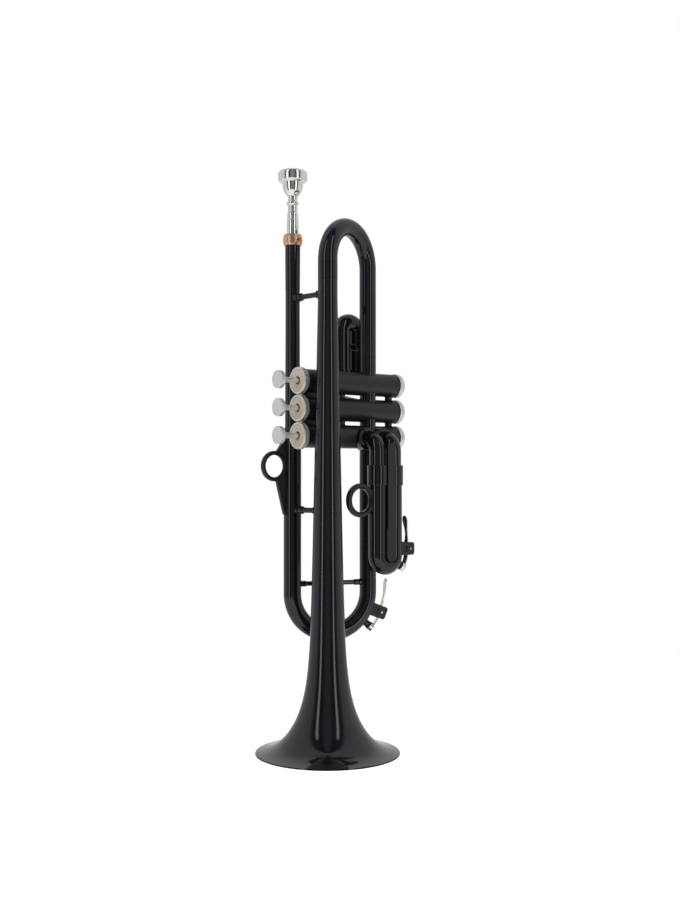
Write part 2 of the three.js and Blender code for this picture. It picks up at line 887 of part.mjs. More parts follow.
function topCapSolid() {
  const end = valves.casingStart - gap;
  const outline = new THREE.Shape();
  for (let point = 0; point < 2 * capRidges; point += 1) {
    const angle = (point / capRidges) * Math.PI;
    const radius = cap.radius - (point % 2) * cap.ridgeDepth;
    const place = point === 0 ? 'moveTo' : 'lineTo';
    outline[place](radius * Math.cos(angle), radius * Math.sin(angle));
  }
  const knurl = new THREE.ExtrudeGeometry(outline, { depth: cap.length - cap.chamfer, bevelEnabled: false });
  knurl.translate(0, 0, capStart + cap.chamfer);
  const root = cap.radius - cap.ridgeDepth;
  const face = revolved([
    [0, capStart],
    [cap.radius - cap.chamfer, capStart],
    [root, capStart + cap.chamfer],
    [0, capStart + cap.chamfer],
  ], medium);
  const plugEnd = end + cap.plugLength;
  const plug = rod(cap.plugRadius, end, plugEnd, medium);
  return cut(
    joined(solidOf(knurl), face, plug),
    rod(cap.holeRadius, capStart - overrun, plugEnd + overrun, coarse),
    rod(cap.radius - cap.rim, capStart - overrun, capStart + cap.recess, coarse),
  );
}

function feltSolid() {
  const floor = capStart + cap.recess - gap;
  return pipe(cap.radius - cap.rim - gap, cap.holeRadius, floor - capFelt.thickness, floor, coarse);
}

function buttonSolid() {
  const b = button;
  const face = capStart - b.faceReach;
  const back = face + b.thickness;
  return revolved([
    [0, face],
    [b.radius - b.rounding, face],
    [b.radius, face + b.rounding],
    [b.radius, back - b.rounding],
    [b.radius - b.rounding, back],
    [b.coneRadius, back],
    [b.stemRadius, back + b.coneLength],
    [b.stemRadius, pistonTop - gap],
    [0, pistonTop - gap],
  ], medium);
}

function bottomCapSolid() {
  const c = bottomCap;
  const start = valves.casingEnd + gap;
  const end = start + c.length;
  return revolved([
    [valves.casingBore, start],
    [c.radius, start],
    [c.radius, end - c.chamfer],
    [c.radius - c.chamfer, end],
    [c.nippleRadius, end],
    [c.nippleRadius, end + c.nipple],
    [0, end + c.nipple],
    [0, end - c.wall],
    [valves.casingBore - c.wall, end - c.wall],
    [valves.casingBore, end - c.chamfer - c.wall],
    [valves.casingBore, start],
  ], medium);
}

const valveSpringLow = pistonTop + piston.topPlate + gap;
const valveSpringHigh = guideFoot - gap;

function makeValve(index) {
  const number = index + 1;
  const s = valveSpring;
  const coil = woundSpring(valveSpringLow, valveSpringHigh, s.coilRadius, s.wireRadius, valveSpringTurns);
  const meshes = [
    part(`valve_casing_${number}`, casingSolid(index), finish.satin),
    part(`piston_${number}`, pistonSolid(), finish.nickel),
    part(`finger_button_${number}`, buttonSolid(), finish.nickel),
    part(`top_cap_${number}`, topCapSolid(), finish.nickel),
    part(`cap_felt_${number}`, feltSolid(), finish.felt),
    part(`bottom_cap_${number}`, bottomCapSolid(), finish.nickel),
    part(`valve_spring_${number}`, coil, finish.steel),
    part(`valve_guide_${number}`, guideSolid(), finish.nylon),
  ];
  return placed(meshes, 0, valves.y, valveHeight(index), [0, Math.PI / 2, 0]);
}

function makeKnuckle(index) {
  const high = valveHeight(index);
  const low = valveHeight(index + 1);
  const spool = pipe(valves.knuckleRadius, air.boreRadius, low, high, coarse);
  const solid = cut(spool, casingRoom(0, high), casingRoom(0, low));
  const name = `knuckle_${index + 1}_${index + 2}`;
  return placed([part(name, solid, finish.gloss)], lowerTube.x, lowerTube.y, 0);
}

// Valve slides
// A slide is drawn hanging down from its ports, with the valve behind it at +Y.

function slideLegs(plan) {
  const half = slide.legSpacing / 2;
  return [
    { x: -half, drop: plan.sleeveDrop },
    { x: half, drop: plan.farJointDrop },
  ];
}

function slideElbow(tubeRadius, drop, valveOffset, sides) {
  const radius = slide.elbowRadius;
  const plan = {
    radius,
    from: Math.PI,
    to: Math.PI / 2,
    steps: elbowSteps,
    startLeg: drop - radius,
    endLeg: valveOffset - radius,
  };
  return bowTube(tubeRadius, plan, sides).translate([radius, 0, -radius]).rotate([0, 0, 90]);
}

// The land that joins the two bosses of a slide.
function bossBridge(start, end) {
  const half = slide.legSpacing / 2;
  return block([-half, start, -slide.neckRadius / 2], [half, end, slide.neckRadius / 2]);
}

// The fixed part: two elbows out of the valve, each with a boss and a sleeve.
function slideNeck(plan, valveOffset, portOffset, tubesApart) {
  const s = slide;
  const foot = -plan.sleeveDrop;
  const bossStart = valveOffset - valves.casingRadius - s.bossLength;
  const outside = [];
  const inside = [casingRoom(valveOffset, portOffset), uprightRoom(lowerTube.x - plan.x, valveOffset)];
  outside.push(bossBridge(bossStart, valveOffset));
  for (const { x, drop } of slideLegs(plan)) {
    outside.push(slideElbow(s.neckRadius, plan.sleeveDrop, valveOffset, coarse).translate([x, 0, 0]));
    outside.push(alongY(rod(s.bossRadius, bossStart, valveOffset, coarse)).translate([x, 0, 0]));
    outside.push(rod(s.sleeveRadius, foot, foot + plan.sleeveHeight, coarse).translate([x, 0, 0]));
    if (drop > plan.sleeveDrop) {
      outside.push(rod(s.radius, -drop, foot, coarse).translate([x, 0, 0]));
    }
    const airDrop = tubesApart ? s.elbowRadius + gap : drop + overrun;
    inside.push(slideElbow(air.boreRadius, airDrop, valveOffset, small).translate([x, 0, 0]));
    if (tubesApart) {
      inside.push(rod(slideBoreRadius, -drop - overrun, -s.elbowRadius, coarse).translate([x, 0, 0]));
    }
  }
  return { outside: joined(...outside), inside };
}

function slideTubes(plan, tubesApart) {
  const foot = slide.innerStop - plan.bowDrop;
  return slideLegs(plan).map(({ x, drop }) => {
    const top = tubesApart ? -slide.elbowRadius - gap : overrun - drop;
    return pipe(air.slideTubeRadius, air.boreRadius, foot, top, small).translate([x, 0, 0]);
  });
}

// The moving part: a tight bow with a web between its legs.
function slideCrook(plan, additions, cuts) {
  const half = slide.legSpacing / 2;
  const foot = -plan.bowDrop;
  const [near, far] = slideLegs(plan).map(({ drop }) => plan.bowDrop - drop - gap);
  const bow = { radius: half, from: -Math.PI, to: 0, steps: tightBowSteps, startLeg: near, endLeg: far };
  const room = { ...bow, startLeg: near + overrun, endLeg: far + overrun };
  const depth = slide.webDepth;
  const web = block([-half, -depth, foot], [half, depth, far + foot]);
  const webFoot = alongY(rod(half, -depth, depth, coarse)).translate([0, 0, foot]);
  const outside = bowTube(slide.radius, bow, coarse).translate([0, 0, foot]);
  const inside = bowTube(slideBoreRadius, room, small).translate([0, 0, foot]);
  return cut(joined(outside, web, webFoot, ...additions), inside, ...cuts);
}

// A strip on the neck that closes the space between its long leg and the crook's long leg.
function slideStrip(plan) {
  const half = slide.legSpacing / 2;
  const foot = -plan.farJointDrop;
  const depth = slide.webDepth;
  const strip = block([-half, -depth, foot], [half, -depth / 2, foot + plan.stripRise + plan.sleeveHeight]);
  const top = -plan.sleeveDrop;
  const face = slidePlate(plan, foot, foot + plan.stripRise + plan.sleeveHeight);
  return cut(strip.add(face), rod(slide.radius + gap, foot - overrun, top, coarse).translate([-half, 0, 0]));
}

// The raised flat between the legs, which starts on the strip and goes on down the crook.
function slidePlate(plan, low, high) {
  const half = plan.plateWidth / 2;
  return block([-half, -plan.plateDepth, low], [half, -slide.webDepth / 2, high]);
}

// The raised flat of the crook, with its round foot.
function crookPlate(plan) {
  const foot = -plan.bowDrop;
  const half = plan.plateWidth / 2;
  const face = slidePlate(plan, foot, -plan.farJointDrop - gap);
  const end = alongY(rod(half, -plan.plateDepth, -slide.webDepth / 2, coarse)).translate([0, 0, foot]);
  return face.add(end);
}

function makeThirdSlide() {
  const t = thirdSlide;
  const offset = valves.y - t.y;
  const key = thirdKeyPlan();
  const ring = alongY(roundedRing(fingerRing.inner, fingerRing.outer, fingerRing.thickness, medium))
    .translate([-fingerRing.reach, 0, -fingerRing.drop]);
  const { outside, inside } = slideNeck(t, offset, t.portDrop, true);
  const neck = cut(outside.add(slideStrip(t)), ...inside);
  const crook = slideCrook(t, [ring, crookPlate(t), keyNipple(key)], [keyNippleBore(key)]);
  const tubes = slideTubes(t, true);
  const meshes = [
    part('third_slide_neck', neck, finish.gloss),
    part('third_slide_crook', crook, finish.gloss),
    ...tubes.map((tube, index) => part(`third_slide_inner_tube_${index + 1}`, tube, finish.alloy)),
    ...makeWaterKey('third', key),
  ];
  return placed(meshes, t.x, t.y, valveHeight(valveCount - 1) - t.portDrop);
}

function makeFirstSlide() {
  const f = firstSlide;
  const offset = f.y - valves.y;
  const front = slide.radius + f.lugProud;
  const width = slide.legSpacing / 4;
  const high = f.lugHeight / 2 - f.lugDrop;
  const lug = block([-width, -front, high - f.lugHeight], [width, front, high]);
  const { outside, inside } = slideNeck(f, offset, f.portRise, false);
  const neck = joined(cut(outside, ...inside), ...slideTubes(f, false));
  const meshes = [
    part('first_slide_neck', neck, finish.gloss),
    part('first_slide_crook', slideCrook(f, [lug], []), finish.gloss),
  ];
  return placed(meshes, f.x, f.y, valveHeight(0) + f.portRise, [Math.PI, 0, 0]);
}

// The second slide points straight out of its valve and slightly up.
function makeSecondSlide() {
  const s = secondSlide;
  const half = slide.legSpacing / 2;
  const bossEnd = valves.casingRadius + slide.bossLength;
  const neckEnd = bossEnd + s.neckLength;
  const legStart = neckEnd + gap;
  const outside = [bossBridge(0, bossEnd)];
  const inside = [casingRoom(0, 0), uprightRoom(lowerTube.x - s.x, 0).rotate([-s.tiltDegrees, 0, 0])];
  const tubes = [];
  for (const x of [-half, half]) {
    const along = (solid) => alongY(solid).translate([x, 0, 0]);
    outside.push(along(rod(slide.neckRadius, 0, neckEnd, coarse)));
    outside.push(along(rod(slide.bossRadius, 0, bossEnd, coarse)));
    inside.push(along(rod(air.boreRadius, -overrun, neckEnd + overrun, small)));
    const tubeEnd = neckEnd + s.legLength;
    tubes.push(along(pipe(air.slideTubeRadius, air.boreRadius, neckEnd - overrun, tubeEnd, small)));
  }
  const legs = { startLeg: s.legLength, endLeg: s.legLength };
  const bow = { radius: half, from: -Math.PI, to: 0, steps: tightBowSteps, ...legs };
  const room = { ...bow, startLeg: s.legLength + overrun, endLeg: s.legLength + overrun };
  const bowEnd = legStart + s.legLength + half + slide.radius;
  const turned = (solid) => solid.rotate([90, 0, 0]).translate([0, legStart + s.legLength, 0]);
  const knob = alongY(revolved([
    [0, -gap],
    [s.knobNeckRadius, -gap],
    [s.knobNeckRadius, s.knobLength / 2],
    [s.knobRadius, s.knobLength / 2],
    [s.knobRadius, s.knobLength],
    [0, s.knobLength],
  ], small)).translate([0, bowEnd, 0]);
  const tube = turned(bowTube(slide.radius, bow, coarse));
  const crook = cut(joined(tube, knob), turned(bowTube(slideBoreRadius, room, small)));
  const meshes = [
    part('second_slide_neck', joined(cut(joined(...outside), ...inside), ...tubes), finish.gloss),
    part('second_slide_crook', crook, finish.gloss),
  ];
  const tilt = THREE.MathUtils.degToRad(s.tiltDegrees);
  return placed(meshes, s.x, valves.y, valveHeight(1), [tilt, 0, 0]);
}

// Water keys
// A plan says where a key sits on its bow: the bow's centre and reach, the angles of the saddle
// and the cup about a point, and the room that the tube takes.

function thirdKeyPlan() {
  const half = slide.legSpacing / 2;
  const foot = -thirdSlide.bowDrop;
  const outside = { radius: half, from: -Math.PI, to: 0, steps: tightBowSteps, endLeg: 2 * slide.webDepth };
  return {
    saddlePoint: [half + slide.radius, foot + thirdKey.rise],
    saddleTurn: 0,
    tip: [-thirdKey.tipLean, thirdKey.tipRise],
    bowCentre: [0, foot],
    bowReach: half + slide.radius,
    nipple: thirdKey.nipple,
    cupTurn: thirdKey.cupDegrees,
    tubeRoom: bowTube(slide.radius + gap, outside, coarse).translate([0, 0, foot]),
  };
}

function mainKeyPlan() {
  const turn = THREE.MathUtils.degToRad(mainKey.saddleDegrees);
  const reach = tuningSpan / 2 + lowerTube.radius;
  return {
    saddlePoint: [reach * Math.cos(turn), reach * Math.sin(turn)],
    saddleTurn: mainKey.saddleDegrees,
    tip: [-mainKey.tipLean, mainKey.tipRise],
    bowCentre: [0, 0],
    bowReach: reach,
    nipple: mainKey.nipple,
    cupTurn: mainKey.cupDegrees,
    tubeRoom: tuningBow(leadpipe.sleeveRadius + gap, 0, coarse),
  };
}

// Moves a solid that stands along Z so that it points from the bow's centre through the cup.
function onCupLine(plan, solid) {
  return alongX(solid).rotate([0, -plan.cupTurn, 0]).translate([plan.bowCentre[0], 0, plan.bowCentre[1]]);
}

function keyNipple(plan) {
  return onCupLine(plan, rod(waterKey.nippleRadius, plan.bowReach - overrun, plan.bowReach + plan.nipple, small));
}

function keyNippleBore(plan) {
  const start = plan.bowReach - slide.radius;
  return onCupLine(plan, rod(waterKey.nippleBore, start, plan.bowReach + plan.nipple + overrun, small));
}

function saddleOutline() {
  const k = waterKey;
  const high = k.saddleHeight / 2;
  const outline = new THREE.Shape();
  outline.moveTo(-k.slotFloor, -high);
  outline.lineTo(k.saddleReach - k.saddleRound, -high);
  outline.quadraticCurveTo(k.saddleReach, -high, k.saddleReach, k.saddleRound - high);
  outline.lineTo(k.saddleReach, high - k.saddleRound);
  outline.quadraticCurveTo(k.saddleReach, high, k.saddleReach - k.saddleRound, high);
  outline.lineTo(-k.slotFloor, high);
  return outline;
}

// The lever runs from its fingertip past the pivot, which is the origin, to the back of the cup.
function leverOutline(tip, cupBack) {
  const half = waterKey.leverThickness / 2;
  const bow = waterKey.leverThickness;
  const steps = 8;
  const curve = new THREE.CatmullRomCurve3([
    new THREE.Vector3(tip[0], 0, tip[1]),
    new THREE.Vector3(tip[0] / 2 + bow, 0, tip[1] / 2),
    new THREE.Vector3(0, 0, 0),
    new THREE.Vector3(cupBack.x / 2 + bow, 0, cupBack.y / 2),
    new THREE.Vector3(cupBack.x, 0, cupBack.y),
  ]);
  const left = [];
  const right = [];
  for (let step = 0; step <= steps; step += 1) {
    const point = curve.getPoint(step / steps);
    const tangent = curve.getTangent(step / steps);
    left.push(new THREE.Vector2(point.x - tangent.z * half, point.z + tangent.x * half));
    right.push(new THREE.Vector2(point.x + tangent.z * half, point.z - tangent.x * half));
  }
  return new THREE.Shape([...left, ...right.reverse()]);
}

// The lever seen square on: a leaf-shaped paddle on a narrow neck, and a wider arm.
function leverFace(tip, cupBack) {
  const half = waterKey.leverWidth / 2;
  const side = paddleShares.map(([height, width]) => (
    new THREE.Vector2((waterKey.paddleWidth / 2) * width, tip[1] * height)
  ));
  side.push(new THREE.Vector2(half, 0), new THREE.Vector2(half, 2 * cupBack.y));
  const other = side.map((point) => new THREE.Vector2(-point.x, point.y));
  return new THREE.Shape([...side, ...other.reverse()]);
}

function makeWaterKey(name, plan) {
  const k = waterKey;
  const turn = THREE.MathUtils.degToRad(plan.saddleTurn);
  const onSaddle = (solid) => solid
    .rotate([0, -plan.saddleTurn, 0])
    .translate([plan.saddlePoint[0], 0, plan.saddlePoint[1]]);
  const atPivot = (solid) => onSaddle(solid.translate([k.pivotReach, 0, 0]));
  const pinRod = (radius, half, sides) => alongY(rod(radius, -half, half, sides));

  const high = k.saddleHeight;
  const slot = block([k.slotFloor, -k.slotWidth / 2, -high], [2 * k.saddleReach, k.slotWidth / 2, high]);
  const pinHole = pinRod(k.pinRadius + gap, k.saddleWidth, small).translate([k.pivotReach, 0, 0]);
  const panelFoot = k.panelReach - k.panelWidth;
  const panels = [-1, 1].map((side) => block(
    [panelFoot, side > 0 ? k.saddleWidth / 2 - k.panelDepth : -k.saddleWidth, -k.panelHeight / 2],
    [k.panelReach, side > 0 ? k.saddleWidth : k.panelDepth - k.saddleWidth / 2, k.panelHeight / 2],
  ));
  const cheeks = cut(plate(saddleOutline(), k.saddleWidth, 4), slot, pinHole, ...panels);
  const saddle = cut(onSaddle(cheeks), plan.tubeRoom);

  const corkFoot = plan.bowReach + plan.nipple + gap;
  const corkTop = corkFoot + k.corkThickness;
  const cupMouth = corkTop - k.cupThickness / 2;
  const cupBackReach = corkTop + gap + k.cupThickness / 2;
  const cup = onCupLine(plan, revolved([
    [k.corkRadius + gap, cupMouth],
    [k.cupRadius, cupMouth],
    [k.cupRadius, cupBackReach],
    [0, cupBackReach],
    [0, corkTop + gap],
    [k.corkRadius + gap, corkTop + gap],
    [k.corkRadius + gap, cupMouth],
  ], coarse));
  const corkRoom = onCupLine(plan, rod(k.corkRadius + gap, corkFoot - k.cupThickness, corkTop + gap, coarse));

  const pivot = new THREE.Vector2(...plan.saddlePoint)
    .add(new THREE.Vector2(k.pivotReach, 0).rotateAround(new THREE.Vector2(), turn));
  const cupTurn = THREE.MathUtils.degToRad(plan.cupTurn);
  const cupBack = new THREE.Vector2(cupBackReach - k.leverThickness / 2, 0)
    .rotateAround(new THREE.Vector2(), cupTurn)
    .add(new THREE.Vector2(...plan.bowCentre))
    .sub(pivot)
    .rotateAround(new THREE.Vector2(), -turn);
  const window = block(
    [-k.slotWidth, -k.windowWidth / 2, -k.windowHeight / 2],
    [k.slotWidth, k.windowWidth / 2, k.windowHeight / 2],
  );
  const face = plate(leverFace(plan.tip, cupBack), 2 * k.saddleReach, 1).rotate([0, 0, 90]);
  const strip = plate(leverOutline(plan.tip, cupBack), k.paddleWidth, 1).intersect(face);
  const bar = joined(strip, pinRod(k.barrelRadius, k.leverWidth / 2, small));
  const arm = cut(bar, window, pinRod(k.pinRadius + gap, k.leverWidth, small));
  const lever = joined(cut(atPivot(arm), corkRoom), cup);

  const springHalf = k.windowWidth / 2 - gap;
  const coil = alongY(woundSpring(-springHalf, springHalf, k.springRadius, k.springWireRadius, waterKeySpringTurns));
  return [
    part(`${name}_key_saddle`, saddle, finish.satin),
    part(`${name}_key_pin`, atPivot(pinRod(k.pinRadius, k.saddleWidth / 2 + k.pinProud, small)), finish.steel),
    part(`${name}_key_lever`, lever, finish.chrome),
    part(`${name}_key_cork`, onCupLine(plan, rod(k.corkRadius, corkFoot, corkTop, small)), finish.rubber),
    part(`${name}_key_spring`, atPivot(coil), finish.steel),
  ];
}

// The whole instrument, moved so that its box stands on the origin

const instrument = new THREE.Group();
instrument.add(makeBell(), ...makeBellBow(), makeLeadpipe());
instrument.add(makePipeBrace('upper_brace', receiver.foot - brace.upperDrop, leadpipe.topRadius));
const middleBraceHeight = THREE.MathUtils.lerp(slideJoint, valveHeight(valveCount - 1), middleBraceShare);
instrument.add(makePipeBrace('middle_brace', middleBraceHeight, leadpipe.sleeveRadius));
instrument.add(makeTuningSlide(), makeLowerTube());
for (let index = 0; index < valveCount; index += 1) {
  instrument.add(makeValve(index));
}
for (let index = 0; index < valveCount - 1; index += 1) {
  instrument.add(makeKnuckle(index));
}
instrument.add(makeFirstSlide(), makeSecondSlide(), makeThirdSlide());

const valveCoilGap = leastCoilGap(
  valveSpringLow,
  valveSpringHigh,
  valveSpring.coilRadius,
  valveSpring.wireRadius,
  valveSpringTurns,
);
const keyCoilGap = leastCoilGap(
  gap,
  waterKey.windowWidth - gap,
  waterKey.springRadius,
  waterKey.springWireRadius,
  waterKeySpringTurns,
);
console.log(`least gap between the turns of a valve spring: ${valveCoilGap.toFixed(2)} mm`);
console.log(`least gap between the turns of a water key spring: ${keyCoilGap.toFixed(2)} mm`);

const box = new THREE.Box3().setFromObject(instrument);
const centre = box.getCenter(new THREE.Vector3());
instrument.position.set(-centre.x, -centre.y, -box.min.z);

const trumpet = new THREE.Group();
trumpet.name = 'trumpet';
trumpet.add(instrument);
trumpet.updateMatrixWorld(true);

export default trumpet;
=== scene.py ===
"""Looks of a black plastic trumpet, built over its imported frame.

Sizes are in millimetres in the instrument's own frame, as the part's source has them: the
bell's axis is the Z axis, the valves lie along X with their buttons at -X, and the leadpipe
stands at +Y. A finished piece is moved into the row's frame, in metres.
"""

from __future__ import annotations

import logging
import math
from dataclasses import dataclass, field
from enum import Enum
from typing import Any, Sequence

import bmesh
import bpy
from mathutils import Matrix, Vector
from mathutils.geometry import delaunay_2d_cdt


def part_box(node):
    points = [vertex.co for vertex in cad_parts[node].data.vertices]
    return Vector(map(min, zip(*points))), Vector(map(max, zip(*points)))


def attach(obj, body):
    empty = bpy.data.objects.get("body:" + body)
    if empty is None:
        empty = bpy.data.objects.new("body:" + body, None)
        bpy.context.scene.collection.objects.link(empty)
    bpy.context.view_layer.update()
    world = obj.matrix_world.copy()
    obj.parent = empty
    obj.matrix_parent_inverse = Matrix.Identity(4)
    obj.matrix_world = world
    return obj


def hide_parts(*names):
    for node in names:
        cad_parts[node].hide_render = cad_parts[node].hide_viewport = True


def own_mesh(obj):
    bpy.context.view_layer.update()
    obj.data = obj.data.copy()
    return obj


logging.basicConfig(level=logging.INFO, format="%(message)s")
log = logging.getLogger("trumpet")

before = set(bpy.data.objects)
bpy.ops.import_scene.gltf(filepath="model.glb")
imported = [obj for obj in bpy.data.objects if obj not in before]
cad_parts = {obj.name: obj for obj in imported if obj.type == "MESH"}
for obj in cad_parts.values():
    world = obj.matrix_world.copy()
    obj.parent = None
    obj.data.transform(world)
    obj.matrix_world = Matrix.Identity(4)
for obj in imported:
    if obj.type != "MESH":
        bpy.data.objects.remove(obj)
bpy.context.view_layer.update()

Pair = tuple[float, float]
Corner = tuple[float, ...]
Socket = bpy.types.NodeSocket
Tree = bpy.types.NodeTree

# What the sub-assemblies share: the gap beside a hidden or moving surface, the seam between two
# tubes, the bore, the radii of the inner slide tubes, of the tubes into the valves and of the
# casings, how tubes and bosses sit on a casing, where the leadpipe and the tubes into the valves
# stand, and the heights of the tuning slide's joint and of the valves.
GAP = 0.3
SEAM = 0.04
BORE = 5.85
INNER_TUBE = 6.35
ENTRY_TUBE = 7.7
CASING = 10.65
TUBE_SEAT, BOSS_SEAT, SEAT_END = 10.4, 10.5, 1.0
LEAD = (-5.8, 45.0)
ENTRY = (64.0, 22.5)
SLIDE_JOINT = 184.6
TOP_VALVE, VALVE_PITCH = 327.1, 24.53


class Axis(Enum):
    """The axes that a shape is turned about or laid along."""

    X = "X"
    Y = "Y"
    Z = "Z"


# Shapes


@dataclass
class Shape:
    """Closed shells in millimetres, before they become a piece."""

    vertices: list[Vector] = field(default_factory=list)
    faces: list[tuple[int, ...]] = field(default_factory=list)

    @classmethod
    def closed(cls, vertices: Sequence[Any], faces: Sequence[Sequence[int]]) -> "Shape":
        """Makes one closed shell and turns its faces outwards.

        Args:
            vertices: Its corners.
            faces: Its faces, all wound the same way.

        Returns:
            The shell.
        """
        shape = cls([Vector(v) for v in vertices], [tuple(f) for f in faces])
        if shape.volume() < 0:
            shape.faces = [face[::-1] for face in shape.faces]
        return shape

    def volume(self) -> float:
        """Returns the volume that the faces enclose."""
        total = 0.0
        for face in self.faces:
            first = self.vertices[face[0]]
            for here, after in zip(face[1:-1], face[2:]):
                total += first.dot(self.vertices[here].cross(self.vertices[after]))
        return total / 6

    def mapped(self, matrix: Matrix) -> "Shape":
        """Returns the shape moved by a matrix."""
        return Shape([matrix @ v for v in self.vertices], list(self.faces))

    def moved(self, x: float, y: float, z: float) -> "Shape":
        """Returns the shape moved along the axes."""
        return self.mapped(Matrix.Translation((x, y, z)))

    def turned(self, degrees: float, axis: Axis) -> "Shape":
        """Returns the shape turned about an axis."""
        return self.mapped(Matrix.Rotation(math.radians(degrees), 4, axis.value))

    def along(self, axis: Axis) -> "Shape":
        """Returns a shape that stands along Z laid along X or Y."""
        return self.turned(90, Axis.Y) if axis is Axis.X else self.turned(-90, Axis.X)

    def seated(self, end: float, reach: float) -> "Shape":
        """Hollows one end of an upright tube so that it sits on a pipe along X through the origin.

        Args:
            end: The height of the flat end.
            reach: The radius of the pipe that it sits on.

        Returns:
            The seated shape.
        """
        seated = []
        for v in self.vertices:
            if abs(v.z - end) < 1e-4:
                height = math.sqrt(max(reach * reach - v.y * v.y, 0.0))
                v = Vector((v.x, v.y, math.copysign(height, end)))
            seated.append(v)
        return Shape(seated, list(self.faces))

    def __add__(self, other: "Shape") -> "Shape":
        """Returns both shapes as one."""
        offset = len(self.vertices)
        moved = [tuple(corner + offset for corner in face) for face in other.faces]
        return Shape(self.vertices + other.vertices, self.faces + moved)


def arc(
    radius: float, start: int, end: int, x: float = 0.0, z: float = 0.0, step: int = 12
) -> list[Pair]:
    """Returns the points of an arc about (x, z), from one angle in degrees to before another."""
    angles = [math.radians(degrees) for degrees in range(start, end, step)]
    return [(x + radius * math.cos(a), z + radius * math.sin(a)) for a in angles]


def wrapped(low: int, high: int, count: int) -> list[tuple[int, ...]]:
    """Returns the faces between two closed rows of vertices, which start at two places."""
    sides = [(side, (side + 1) % count) for side in range(count)]
    return [(low + side, low + beside, high + beside, high + side) for side, beside in sides]


def softened(corners: Sequence[Corner], steps: int = 4) -> list[Pair]:
    """Rounds the corners of a line that name a rounding.

    Args:
        corners: Pairs of coordinates, with a third number where the corner is rounded.
        steps: The number of steps round a corner.

    Returns:
        The points of the rounded line.
    """
    closed = corners[0][:2] == corners[-1][:2]
    points: list[Pair] = []
    for index, corner in enumerate(corners):
        here = Vector(corner[:2])
        rounding = corner[2] if len(corner) > 2 else 0.0
        if rounding <= 0 or (index in (0, len(corners) - 1) and not closed):
            points.append((here.x, here.y))
            continue
        before = Vector(corners[index - 1][:2] if index else corners[-2][:2]) - here
        after = Vector(corners[index + 1][:2] if index + 1 < len(corners) else corners[1][:2]) - here
        reach = min(rounding, 0.49 * before.length, 0.49 * after.length)
        start, end = here + before.normalized() * reach, here + after.normalized() * reach
        for t in (step / steps for step in range(steps + 1)):
            point = start * (1 - t) ** 2 + here * 2 * t * (1 - t) + end * t**2
            points.append((point.x, point.y))
    if closed and points[0] != points[-1]:
        points.append(points[0])
    return points


def revolved(corners: Sequence[Corner], sides: int = 72, steps: int = 4) -> Shape:
    """Turns a profile about Z.

    Args:
        corners: Radius and height of each corner, with its rounding. The profile starts and
            ends on the axis, or closes on itself.
        sides: The number of sides.
        steps: The number of steps round a corner.

    Returns:
        The turned body.
    """
    profile = softened(corners, steps)
    closed = profile[0] == profile[-1]
    vertices: list[Vector] = []
    rings: list[list[int]] = []
    for radius, height in profile[:-1] if closed else profile:
        start = len(vertices)
        if radius < 1e-6:
            vertices.append(Vector((0, 0, height)))
            rings.append([start] * sides)
            continue
        for angle in (2 * math.pi * side / sides for side in range(sides)):
            vertices.append(Vector((radius * math.cos(angle), radius * math.sin(angle), height)))
        rings.append(list(range(start, start + sides)))
    faces = []
    for low, high in zip(rings, rings[1:] + (rings[:1] if closed else [])):
        for side in range(sides):
            beside = (side + 1) % sides
            face = [low[side], low[beside], high[beside], high[side]]
            face = [c for i, c in enumerate(face) if c != face[i - 1]]
            if len(face) > 2:
                faces.append(face)
    return Shape.closed(vertices, faces)


def rod(radius: float, low: float, high: float, rounding: float = 0.0, sides: int = 48) -> Shape:
    """Returns an upright rod with rounded rims."""
    return revolved([(0, low), (radius, low, rounding), (radius, high, rounding), (0, high)], sides)


def pipe(outer: float, inner: float, low: float, high: float, rounding: float = 0.0) -> Shape:
    """Returns an upright pipe with rounded outer rims."""
    rims = [(outer, low, rounding), (outer, high, rounding), (inner, high), (inner, low)]
    return revolved([(inner, low), *rims])


def ring(inner: float, outer: float, thickness: float, rounding: float = 1.5) -> Shape:
    """Returns a finger ring round Y with rounded edges."""
    half = thickness / 2
    rims = [(inner, -half), (outer, -half), (outer, half), (inner, half), (inner, -half)]
    return revolved([(*rim, rounding) for rim in rims], 96, 6).along(Axis.Y)


def read_back(work: bmesh.types.BMesh) -> Shape:
    """Reads a shape from a work mesh and frees the work mesh."""
    work.verts.index_update()
    faces = [tuple(v.index for v in f.verts) for f in work.faces]
    shape = Shape([v.co.copy() for v in work.verts], faces)
    work.free()
    return shape


def bevelled(shape: Shape, rounding: float, least_degrees: float = 35) -> Shape:
    """Rounds the sharp edges of one closed shell.

    Args:
        shape: The shell.
        rounding: How far the rounding reaches from each edge.
        least_degrees: The least angle between two faces that makes their edge sharp.

    Returns:
        The rounded shell.
    """
    work = bmesh.new()
    corners = [work.verts.new(v) for v in shape.vertices]
    for face in shape.faces:
        work.faces.new([corners[i] for i in face])
    bmesh.ops.recalc_face_normals(work, faces=work.faces[:])
    least = math.radians(least_degrees)
    sharp = [e for e in work.edges if len(e.link_faces) == 2 and e.calc_face_angle(0) > least]
    options = {"segments": 3, "profile": 0.5, "affect": "EDGES", "clamp_overlap": True}
    bmesh.ops.bevel(work, geom=sharp, offset=rounding, **options)
    return read_back(work)


